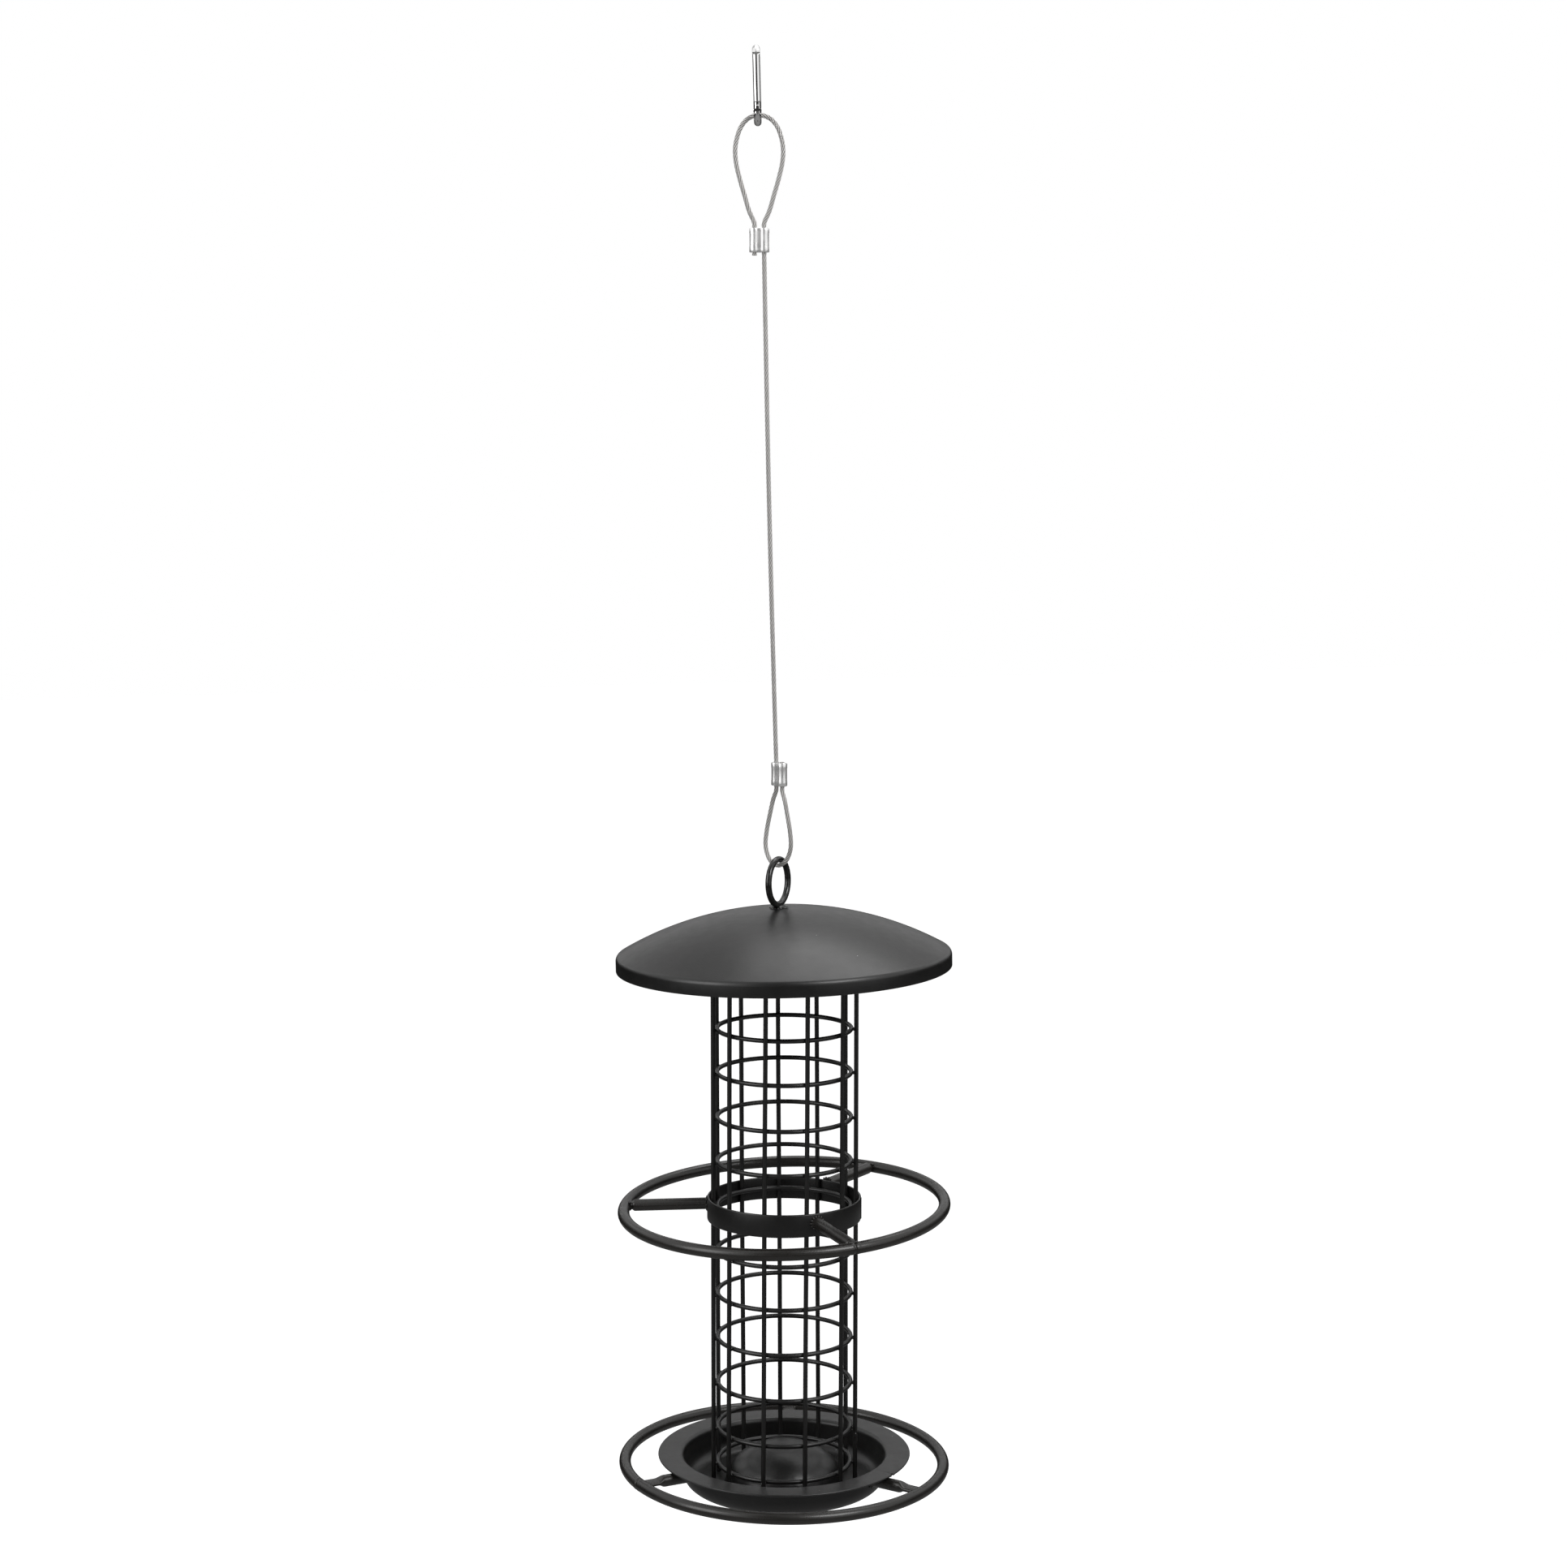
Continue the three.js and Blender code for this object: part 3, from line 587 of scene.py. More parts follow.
def round_ended(path, radius, sides_count, edge):
    """swept() with softly rounded ends."""
    length = travelled(path)
    whole = length[-1]
    near = edge * (1 - np.cos(np.linspace(0, math.pi / 2, 5)))
    between = length[(length > edge) & (length < whole - edge)]
    places = np.unique(np.concatenate([near, between, whole - near]))
    inset = np.minimum(places, whole - places).clip(0, edge)
    radii = radius - edge + np.sqrt(edge ** 2 - (edge - inset) ** 2)
    return swept(at_places(path, places), radii, sides_count)


def wire_ring(radius, wire_radius, angles, sides_count, gauge=lambda angle: 1):
    """A wire bent to a closed ring about Z; gauge(angle) scales its thickness."""
    points = []
    for a in angles:
        thick = wire_radius * gauge(a)
        for b in even_angles(sides_count):
            reach = radius + thick * math.cos(b)
            points.append((reach * math.cos(a), reach * math.sin(a), thick * math.sin(b)))
    return np.array(points), grid_faces(len(angles), sides_count, wrap_rows=True)


def lump(bead, seed, size=1):
    """A small bead of weld, its skin uneven."""
    half_sizes, roughness, (around, down) = bead
    half_x, half_y, half_z = (size * half for half in half_sizes)
    points = [(0, 0, half_z)]
    for i in range(1, down):
        tilt = math.pi * i / down
        for turn in even_angles(around):
            unit = Vector((
                math.sin(tilt) * math.cos(turn), math.sin(tilt) * math.sin(turn), math.cos(tilt),
            ))
            swell = 1 + roughness * noise.noise(unit * 2.1 + Vector((seed, -seed, seed * 0.37)))
            points.append((
                unit.x * half_x * swell, unit.y * half_y * swell, unit.z * half_z * swell,
            ))
    points.append((0, 0, -half_z))
    last = len(points) - 1
    faces = [(0, 1 + j, 1 + (j + 1) % around) for j in range(around)]
    faces += [tuple(v + 1 for v in face) for face in grid_faces(down - 1, around)]
    tail = last - around
    faces += [(last, tail + (j + 1) % around, tail + j) for j in range(around)]
    return np.array(points), faces


def slab(outline, thickness, edge):
    """A plate across X from an outline in (y, z), its rims slightly chamfered."""
    outline = np.array(outline)
    middle = outline.mean(axis=0)
    reach = np.linalg.norm(outline - middle, axis=1)[:, None]
    inset = outline - (outline - middle) / reach * edge
    half = thickness / 2
    levels = ((-half, inset), (edge - half, outline), (half - edge, outline), (half, inset))
    return stacked([[(x, y, z) for y, z in shape] for x, shape in levels])


def put_up(name, body, finish, carrier, nodes, crease=35):
    """Makes the piece where the CAD stands, riding on its body and standing for its CAD nodes."""
    material, slot = finish
    points, faces = moved(body, stands[carrier])
    mesh = bpy.data.meshes.new(name)
    mesh.from_pydata((points * MILLIMETRE).tolist(), [], faces)
    mesh.validate()
    shell = bmesh.new()
    shell.from_mesh(mesh)
    bmesh.ops.remove_doubles(shell, verts=shell.verts, dist=MERGED)
    bmesh.ops.recalc_face_normals(shell, faces=shell.faces)
    shell.to_mesh(mesh)
    shell.free()
    mesh.shade_smooth()
    mesh.set_sharp_from_angle(angle=math.radians(crease))
    mesh.materials.append(material)
    piece = new_object(name, mesh)
    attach(piece, carrier)
    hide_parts(*nodes)
    return piece


def paint_shade(piece, low, high):
    """Marks painted shade on the front of a piece between two levels of the hook's own frame."""
    levels = [v.co.z / MILLIMETRE - HOOK_WIRE + HOOK_HEIGHT for v in piece.data.vertices]
    front = [v.co.y < 0 for v in piece.data.vertices]
    painted_shade = piece.data.attributes.new("painted_shade", "FLOAT", "POINT")
    painted_shade.data.foreach_set("value", [float(f and low < z < high) for z, f in zip(levels, front)])


# Rope: six strands laid round a core, one skin

def smooth_through(knots):
    """Centripetal Catmull-Rom through the knots."""
    def between(first, second, start, end, t):
        return ((end - t) * first + (t - start) * second) / (end - start)

    knots = [np.array(k, float) for k in knots]
    padded = [2 * knots[0] - knots[1], *knots, 2 * knots[-1] - knots[-2]]
    points = []
    for a, b, c, d in zip(padded, padded[1:], padded[2:], padded[3:]):
        spans = [math.sqrt(np.linalg.norm(leg)) for leg in (b - a, c - b, d - c)]
        t0, t1, t2, t3 = np.cumsum([0, *spans])
        for t in np.linspace(t1, t2, LOOP_SPAN_STEPS, endpoint=False):
            ab, bc = between(a, b, t0, t1, t), between(b, c, t1, t2, t)
            abc = between(ab, bc, t0, t2, t)
            bcd = between(bc, between(c, d, t2, t3, t), t1, t3, t)
            points.append(between(abc, bcd, t1, t2, t))
    return [*points, knots[-1]]


def at_barrel(x, turn, side, level):
    """A point on the axis of a ferrule's right (+1) or left (-1) barrel."""
    return (x + side * BORE_OFFSET * math.cos(turn), side * BORE_OFFSET * math.sin(turn), level)


def loop_points(x, turn, end_x, end_turn, start, end, half_width, shares):
    """A loop from a ferrule's left barrel round its far end and back into the right one."""
    def leg(side):
        points = []
        for up, out in shares:
            direction = turn + (end_turn - turn) * up
            reach = side * out * half_width
            points.append((
                x + (end_x - x) * up + reach * math.cos(direction),
                reach * math.sin(direction),
                start + (end - start) * up,
            ))
        return points

    straight = start + math.copysign(ROPE_DIAMETER, end - start)
    return smooth_through([
        at_barrel(x, turn, -1, start),
        at_barrel(x, turn, -1, straight),
        *leg(-1),
        (end_x, 0, end),
        *reversed(leg(1)),
        at_barrel(x, turn, 1, straight),
        at_barrel(x, turn, 1, start),
    ])


def rope_route():
    upper = loop_points(
        *UPPER_FERRULE, *UPPER_FERRULE,
        UPPER_FERRULE_HIGH, UPPER_LOOP_END, UPPER_LOOP_HALF_WIDTH, UPPER_LOOP_SHARES,
    )
    lower = loop_points(
        *LOWER_FERRULE, ring_top.x, RING_TURN - math.pi / 2,
        LOWER_FERRULE_LOW, LOWER_LOOP_END, LOWER_LOOP_HALF_WIDTH, LOWER_LOOP_SHARES,
    )
    run_start = np.array(at_barrel(*UPPER_FERRULE, 1, UPPER_FERRULE_LOW))
    run_end = np.array(at_barrel(*LOWER_FERRULE, -1, LOWER_FERRULE_HIGH))
    bow = np.array((ROPE_BOW, 0, 0))
    run = [
        run_start + (run_end - run_start) * share - bow * math.sin(math.pi * share)
        for share in np.linspace(0, 1, RUN_STEPS + 1)
    ]
    route = [
        at_barrel(*UPPER_FERRULE, -1, UPPER_FERRULE_LOW - UPPER_TAIL),
        *upper,
        *run,
        *lower,
        at_barrel(*LOWER_FERRULE, 1, LOWER_FERRULE_HIGH + LOWER_TAIL),
    ]
    return resampled(route, ROPE_LAY / ROPE_STEPS)


def rope_section():
    """Reach and angle of each point of the rope's outline, strand by strand."""
    strand = ROPE_DIAMETER / 6  # its radius, as three strands lie side by side across the rope
    core = 2 * strand
    section = []
    for index in range(ROPE_STRANDS):
        middle = index * 2 * math.pi / ROPE_STRANDS
        for step in range(STRAND_STEPS):
            turn = math.radians(-STRAND_ARC / 2 + STRAND_ARC * step / STRAND_STEPS)
            x, y = core + strand * math.cos(turn), strand * math.sin(turn)
            section.append((math.hypot(x, y), middle + math.atan2(y, x)))
    return np.array(section).T


def make_rope():
    route = rope_route()
    length = travelled(route)
    _, side, other = carried_frames(route)
    reach, lead = rope_section()
    rings, uvs = [], []
    for centre, along, a, b in zip(route, length, side, other):
        spin = lead + 2 * math.pi * along / ROPE_LAY
        rings.append(
            centre + np.outer(reach * np.cos(spin), a) + np.outer(reach * np.sin(spin), b)
        )
        uvs.append([(along, (2 * math.pi + s) / (2 * math.pi)) for s in spin])
    finish = rope_material(), "rope_steel"
    rope = put_up("laid_rope", stacked(rings), finish, "cable", ["wire_rope"], crease=80)
    mesh = rope.data
    spots = np.array(uvs).reshape(-1, 2)
    assert len(spots) == len(mesh.vertices)
    # How deep each point of the outline lies between strands; it sets the painted shade in the
    # grooves
    depth = ((reach.max() - reach) / (reach.max() - reach.min())) ** 0.8
    groove_shade = mesh.attributes.new("groove_shade", "FLOAT", "POINT")
    groove_shade.data.foreach_set("value", np.tile(depth, len(rings)).astype(np.float32))
    corners = np.zeros(len(mesh.loops), np.int32)
    mesh.loops.foreach_get("vertex_index", corners)
    layer = mesh.uv_layers.new(name="lay")
    layer.data.foreach_set("uv", spots[corners].astype(np.float32).ravel())


make_camera()
make_rope()

# Finishes: a material and its slot in the record
black = coat_material("black_coat", 0.005, 0.007, 0.34, 0.03), "black_coat"
ring_black = coat_material("ring_coat", 0.008, 0.011, 0.17, 0.02, 0.012), "black_coat"
perch_black = coat_material("perch_coat", 0.01, 0.015, 0.28, 0.1), "perch_coat"
chrome = polished_material("chrome", 0.86, 0.05, 0.0005, (1, 1, 0.08)), "chrome"
aluminium = polished_material("aluminium", 0.88, 0.24, 0.0008, (1, 1, 0.05), 0.7), "aluminium"
spring_steel = polished_material("spring_steel", 0.5, 0.3, 0.01, (1, 1, 0.05)), "rope_steel"


# Ferrules: two pressed barrels with a creased waist between them

def ferrule_outline(swell):
    radius = BARREL_RADIUS + swell
    crease = radius * math.sin(BARREL_ARC) - CREASE_DEPTH
    edge = BORE_OFFSET + radius * math.cos(BARREL_ARC) - CREASE_ADVANCE
    waist = crease + WAIST_RISE
    right = arc(BORE_OFFSET, 0, radius, -BARREL_ARC, BARREL_ARC, BARREL_STEPS)
    left = arc(
        -BORE_OFFSET, 0, radius, math.pi - BARREL_ARC, math.pi + BARREL_ARC, BARREL_STEPS,
    )
    return [
        *right, (edge, crease), (0, waist), (-edge, crease),
        *left, (-edge, -crease), (0, -waist), (edge, -crease),
    ]


def make_ferrule(node, x, turn, low):
    edge = FERRULE_EDGE
    press_from, press_to = FERRULE_PRESS_SPAN
    levels = [  # (height, swell)
        (0, -edge), (edge * 0.3, -edge * 0.3), (edge, 0),
        (press_from, 0), (press_to, -FERRULE_PRESS),
    ]
    levels += [(FERRULE_LENGTH - z, swell) for z, swell in reversed(levels)]
    bores = [
        arc(middle, 0, ROPE_DIAMETER / 2 + BORE_GAP, 0, 2 * math.pi, BORE_STEPS)[:-1]
        for middle in (-BORE_OFFSET, BORE_OFFSET)
    ]
    ends = (0, FERRULE_LENGTH)

    def raised(outline, z):
        return [(px, py, z) for px, py in outline]

    skin = [raised(ferrule_outline(swell), z) for z, swell in levels]
    bodies = [stacked(skin, cap=False)]
    bodies += [stacked([raised(bore, z) for z in ends], cap=False) for bore in bores]
    for z in ends:
        outlines = [ferrule_outline(-edge), *bores]
        loops = [[Vector(point) for point in raised(outline, z)] for outline in outlines]
        bodies.append(([tuple(v) for loop in loops for v in loop], tessellate_polygon(loops)))
    body = moved(joined(*bodies), shifted(x, 0, low) @ about("Z", turn))
    put_up(f"{node}_pressing", body, aluminium, "cable", [node])


# Snap hook

HOOK_TOP_CENTRE = HOOK_HEIGHT - HOOK_WIRE / 2 - HOOK_TOP_RADIUS
HOOK_BOTTOM_CENTRE = HOOK_WIRE / 2 + HOOK_BOTTOM_RADIUS
HINGE_Y = -HOOK_BOTTOM_RADIUS - GATE_HINGE_ADVANCE


def bend_ring(turn, level, bend, stop):
    """A ring of the wire at one turn of a bend, with no point past the stop level."""
    points = []
    for around in even_angles(HOOK_SIDES):
        reach = bend + HOOK_WIRE / 2 * math.cos(around)
        held = math.pi - math.asin(abs(stop - level) / reach)
        spot = min(turn, held) if stop > level else max(turn, -held)
        out, up = reach * math.cos(spot), reach * math.sin(spot)
        points.append((HOOK_WIRE / 2 * math.sin(around), out, level + up))
    return np.array(points)


def shrunk(ring, edge):
    middle = np.mean(ring, axis=0)
    return ring + (middle - ring) / np.linalg.norm(middle - ring, axis=1)[:, None] * edge


def make_hook_body():
    rise = HOOK_TOP_CENTRE - HOOK_BOTTOM_CENTRE
    lean = math.asin((HOOK_TOP_RADIUS - HOOK_BOTTOM_RADIUS) / rise)
    shoulder = GATE_HINGE_HEIGHT - GATE_DEPTH / 2 - SEAT_GAP
    top = (HOOK_TOP_CENTRE, HOOK_TOP_RADIUS)
    bottom = (HOOK_BOTTOM_CENTRE, HOOK_BOTTOM_RADIUS)
    top_turns = np.linspace(HOOK_TOP_TURN, -lean, TOP_BEND_STEPS)
    bottom_turns = np.linspace(-lean, HOOK_BOTTOM_TURN, BOTTOM_BEND_STEPS)
    rings = [
        shrunk(bend_ring(math.pi, *top, HOOK_NOSE_HEIGHT), HOOK_EDGE),
        *(bend_ring(turn, *top, HOOK_NOSE_HEIGHT + HOOK_EDGE) for turn in top_turns),
        *(bend_ring(turn, *bottom, shoulder - HOOK_EDGE) for turn in bottom_turns),
        shrunk(bend_ring(-math.pi, *bottom, shoulder), HOOK_EDGE),
    ]
    root_level = shoulder - HOOK_WIRE / 4
    root_y = -math.sqrt(HOOK_BOTTOM_RADIUS ** 2 - (HOOK_BOTTOM_CENTRE - root_level) ** 2)
    tab = slab([
        *arc(HINGE_Y, GATE_HINGE_HEIGHT, HOOK_WIRE / 2, 0, math.pi, TAB_STEPS),
        (root_y - HOOK_WIRE / 3, root_level),
        (root_y + HOOK_WIRE / 3, root_level),
    ], TAB_THICKNESS, TAB_EDGE)
    body = joined(stacked(rings), tab)
    hook = put_up("hook_wire", body, chrome, "hook", ["snap_hook_body"])
    # Painted shade on the front of the tab at the hinge
    paint_shade(hook, shoulder + HOOK_EDGE, HOOK_NOSE_HEIGHT - HOOK_WIRE)


def make_gate():
    """A channel pressed from sheet, its round back to the front, its ears round the rivet."""
    outer = GATE_WIDTH / 2
    slot = TAB_THICKNESS / 2 + SEAT_GAP
    round_y = outer - GATE_DEPTH / 2
    back = GATE_DEPTH / 2
    length = HOOK_NOSE_HEIGHT - GATE_HINGE_HEIGHT - SEAT_GAP
    low = HOOK_WIRE / 2 + SEAT_GAP + CHANNEL_RISE
    lip, edge = CHANNEL_LIP, CHANNEL_EDGE
    outline = [
        *arc(0, round_y, outer, 0, -math.pi, CHANNEL_ROUND_STEPS),
        (-outer, back - lip), (-outer + lip, back), (-slot - lip, back), (-slot, back - lip),
        *arc(0, round_y, slot, -math.pi, 0, SLOT_STEPS),
        (slot, back - lip), (slot + lip, back), (outer - lip, back), (outer, back - lip),
    ]
    middle = (outer + slot) / 2

    def ring(z, inset):
        points = []
        for x, y in outline:
            reach = math.hypot(x, min(y - round_y, 0))
            pull = inset * (1 if reach > middle else -1) / reach
            crown = max(0.0, 1 - (x / outer) ** 2) * (z > length / 2) * (y < round_y)
            points.append((
                x - x * pull, y - min(y - round_y, 0) * pull, z - CHANNEL_DIP * crown,
            ))
        return points

    channel = stacked([
        ring(low, edge), ring(low + edge, 0),
        *(ring(z, 0) for z in np.linspace(low + 1, length - 1, CHANNEL_STEPS)),
        ring(length - edge, 0), ring(length, edge),
    ])
    ear = slab([
        *arc(0, 0, back, math.pi, 2 * math.pi, EAR_STEPS),
        (back, low + EAR_LAP), (-back, low + EAR_LAP),
    ], outer - slot, EAR_EDGE)
    ears = [moved(ear, shifted(side * middle)) for side in (-1, 1)]
    lean = math.atan(GATE_TOP_ADVANCE / (HOOK_NOSE_HEIGHT - GATE_HINGE_HEIGHT))
    place = shifted(0, HINGE_Y, GATE_HINGE_HEIGHT) @ about("X", lean)
    body = moved(joined(channel, *ears), place)
    gate = put_up("gate_channel", body, chrome, "gate", ["snap_hook_gate"])
    # Painted shade on the front of the channel's foot and ears at the hinge
    paint_shade(gate, 0, GATE_HINGE_HEIGHT + low + CHANNEL_SHADE)

    half = LEAF_THICKNESS / 2
    foot = HOOK_WIRE / 2 + 2 * SEAT_GAP
    tip = foot + LEAF_LENGTH
    leaf = slab([(-half, foot), (half, foot), (half, tip), (-half, tip)], LEAF_WIDTH, LEAF_EDGE)
    put_up("gate_leaf", moved(leaf, place), spring_steel, "gate", ["gate_spring"])


def make_rivet():
    """A rivet with two low domed heads."""
    head = [(GATE_WIDTH / 2 + out, PIN_DIAMETER / 2 * share) for out, share in PIN_HEAD]
    profile = [(-x, r) for x, r in reversed(head)] + head
    turns = even_angles(PIN_SIDES)
    rings = [[(x, r * math.cos(a), r * math.sin(a)) for a in turns] for x, r in profile]
    place = shifted(0, HINGE_Y, GATE_HINGE_HEIGHT)
    put_up("hinge_rivet", moved(stacked(rings), place), chrome, "hook", ["hinge_pin"])


# Lid

def dome_skin(inset):
    """The dome and its fold from the crown down, by the inset inside the outer skin."""
    fold_x = LID_RADIUS - LID_FOLD_RADIUS
    fold_z = DOME_CENTRE + math.sqrt((LID_CROWN_RADIUS - LID_FOLD_RADIUS) ** 2 - fold_x ** 2)
    fold_start = math.atan2(fold_z - DOME_CENTRE, fold_x)
    dome = arc(0, DOME_CENTRE, LID_CROWN_RADIUS - inset, math.pi / 2, fold_start, DOME_STEPS)
    fold = arc(fold_x, fold_z, LID_FOLD_RADIUS - inset, fold_start, 0, FOLD_STEPS)
    return [(0.0, dome[0][1]), *dome[1:], *fold[1:]]


def make_lid():
    tilt = about("Y", LID_TILT)
    half = LID_SHEET / 2
    edge = arc(LID_RADIUS - half, half, half, 0, -math.pi, HEM_STEPS)
    outline = [*dome_skin(0), *edge, *reversed(dome_skin(LID_SHEET))]
    shell = moved(lathe(outline, even_angles(LID_SEGMENTS)), tilt)
    put_up("lid_pressing", shell, black, "lid", ["lid_shell"])

    inner = COLLAR_OUTER_RADIUS + GRIP_GAP
    outer = inner + GRIP_SHEET
    underside = DOME_CENTRE + math.sqrt((LID_CROWN_RADIUS - LID_SHEET) ** 2 - outer ** 2)
    grip = moved(band(inner, outer, -GRIP_DROP, underside + GRIP_LAP, GRIP_EDGE), tilt)
    put_up("lid_grip_sheet", grip, black, "lid", ["lid_grip_band"])

    half = RING_WIRE / 2
    ring = wire_ring(RING_OUTER_RADIUS - half, half, even_angles(RING_SEGMENTS), RING_SIDES)
    stand = tilt @ shifted(RING_FOOT_X, 0, RING_CENTRE_LEVEL) @ about("Z", RING_TURN)
    ring = moved(ring, stand @ about("X", math.pi / 2))
    put_up("hanging_ring_wire", ring, ring_black, "lid", ["hanging_ring"])

    foot = tilt @ shifted(RING_FOOT_X, 0, RING_FOOT_LEVEL) @ about("Z", RING_TURN)
    for name, side in (("right", -1), ("left", 1)):
        beads = []
        for i, (along, out, size) in enumerate(RING_BEADS):
            bead = lump(RING_BEAD, 3.7 * i + 11 * side, size)
            beads.append(moved(bead, foot @ shifted(along, side * out, -RING_BEAD_SINK)))
        node = f"ring_weld_{name}"
        weld = joined(*beads)
        put_up(f"ring_foot_weld_{name}", weld, ring_black, "lid", [node], crease=60)


# Cage

UPRIGHT_FOOT = TRAY_FLOOR + 0.1
UPRIGHT_MIDDLE = (UPRIGHT_FOOT + UPRIGHT_TOP) / 2
UPRIGHT_LEAN = UPRIGHT_RADIUS * math.tan(CAGE_TWIST / 2) / (UPRIGHT_TOP - UPRIGHT_MIDDLE)


def hoop_levels():
    steps = len(HOOP_SHIFT_SHARES) - 1
    pitch = (TRAY_RIM_DROP - FIRST_HOOP_DROP - LAST_PITCHED_HOOP_RISE) / steps
    drops = [FIRST_HOOP_DROP + (i + shift) * pitch for i, shift in enumerate(HOOP_SHIFT_SHARES)]
    return [-drop for drop in (*drops, TRAY_RIM_DROP + BOTTOM_HOOP_SINK)]


def make_cage():
    heights = np.linspace(UPRIGHT_FOOT, UPRIGHT_TOP, UPRIGHT_STEPS)
    for i, angle in enumerate(UPRIGHT_ANGLES):
        wave = UPRIGHT_WAVE * np.sin(heights / UPRIGHT_WAVE_LENGTH + UPRIGHT_WAVE_STEP * i)
        across = (heights - UPRIGHT_MIDDLE) * UPRIGHT_LEAN + wave
        path = [(x, -UPRIGHT_RADIUS, z) for x, z in zip(across, heights)]
        rod = round_ended(path, UPRIGHT_WIRE / 2, UPRIGHT_SIDES, UPRIGHT_EDGE)
        rod = moved(rod, about("Z", angle))
        name = f"cage_upright_{i + 1:02d}"
        put_up(f"{name}_wire", rod, black, "cage", [name])
    for i, level in enumerate(hoop_levels()):
        bodies = [wire_ring(HOOP_RADIUS, HOOP_WIRE / 2, even_angles(HOOP_SEGMENTS), HOOP_SIDES)]
        for j, angle in enumerate(UPRIGHT_ANGLES):
            nugget = lump(NUGGET, 1.3 * i + 5.1 * j)
            turn = angle + math.atan((level - UPRIGHT_MIDDLE) * UPRIGHT_LEAN / UPRIGHT_RADIUS)
            seat = about("Z", turn) @ shifted(0, -HOOP_RADIUS - HOOP_WIRE / 2 - SEAT_GAP / 2)
            bodies.append(moved(nugget, seat))
        name = f"cage_hoop_{i + 1:02d}"
        hoop = moved(joined(*bodies), shifted(z=level))
        put_up(f"{name}_wire", hoop, black, "cage", [name])
    top = UPRIGHT_TOP + TOP_BAND_RISE
    top_band = band(
        COLLAR_INNER_RADIUS, COLLAR_OUTER_RADIUS, top - TOP_BAND_HEIGHT, top, TOP_BAND_EDGE,
    )
    put_up("cage_top_strip", top_band, black, "cage", ["cage_top_band"])


def make_collar():
    """The strip's two ends meet at the right; the join stands proud by a hair."""
    half = COLLAR_HEIGHT / 2
    strip = band(COLLAR_INNER_RADIUS, COLLAR_OUTER_RADIUS, -half, half, COLLAR_EDGE)
    high = half - COLLAR_SEAM_INSET
    path = [(0, 0, -high), (0, 0, high)]
    seam = round_ended(path, COLLAR_SEAM_RADIUS, SEAM_SIDES, COLLAR_SEAM_EDGE)
    seat = about("Z", COLLAR_SEAM_ANGLE) @ shifted(COLLAR_OUTER_RADIUS - COLLAR_SEAM_SINK)
    collar = moved(joined(strip, moved(seam, seat)), shifted(z=-COLLAR_DROP))
    put_up("middle_strip", collar, black, "cage", ["middle_collar"])


# Perches

def spoke_section(width, height, power):
    """A round outline that turns squarer as the power rises."""
    points = []
    for a in even_angles(SPOKE_SIDES):
        c, s = math.cos(a), math.sin(a)
        points.append((
            math.copysign(abs(c) ** (2 / power), c) * width / 2,
            math.copysign(abs(s) ** (2 / power), s) * height / 2,
        ))
    return points


def spoke_body(carrier_radius, seed, shape):
    """A rod welded to the carrier at one end, its other end pressed and welded to the ring."""
    end = PERCH_RADIUS - PERCH_ROD / 2 + SPOKE_LAP
    flat_from = end - shape["tongue"]
    round_to = flat_from - shape["crimp"]

    def level(at):
        share = (at - carrier_radius) / (round_to - carrier_radius)
        return shape["rise"] + (shape["end_rise"] - shape["rise"]) * min(max(share, 0), 1)

    stations = [  # (distance from the cage's axis, share of the pressing)
        (carrier_radius - SPOKE_ROOT, 0.0),
        (round_to, 0.0),
        *(
            (round_to + shape["crimp"] * t, 0.5 - 0.5 * math.cos(math.pi * t))
            for t in np.linspace(0.1, 1, CRIMP_STEPS)
        ),
        (end - 0.3, 1.0),
        (end - 0.1, 1.0),
    ]
    rings = []
    for at, flat in stations:
        width = SPOKE_ROD + (shape["width"] - SPOKE_ROD) * flat
        height = SPOKE_ROD + (shape["thickness"] - SPOKE_ROD) * flat
        power = 2 + SPOKE_SQUARENESS * flat * (shape["width"] > SPOKE_ROD)
        rings.append([(at, w, h + level(at)) for w, h in spoke_section(width, height, power)])
    bodies = [stacked(rings)]
    along, out = ROOT_BEAD_PLACE
    root = shifted(carrier_radius + along, 0, shape["rise"])
    for i, a in enumerate(even_angles(ROOT_BEADS)):
        bead = lump(ROOT_BEAD, 2.9 * i + seed)
        bodies.append(moved(bead, root @ about("X", a) @ shifted(y=SPOKE_ROD / 2 + out)))
    for side in (-1, 1):
        for i in range(TONGUE_BEADS):
            across = shape["width"] * (i - 2) / TONGUE_BEADS
            bead = lump(TONGUE_BEAD, 4.3 * i + seed + side)
            up = side * shape["thickness"] * TONGUE_BEAD_RISE + shape["end_rise"]
            bodies.append(moved(bead, shifted(end - TONGUE_BEAD_BACK, across, up)))
    return joined(*bodies)


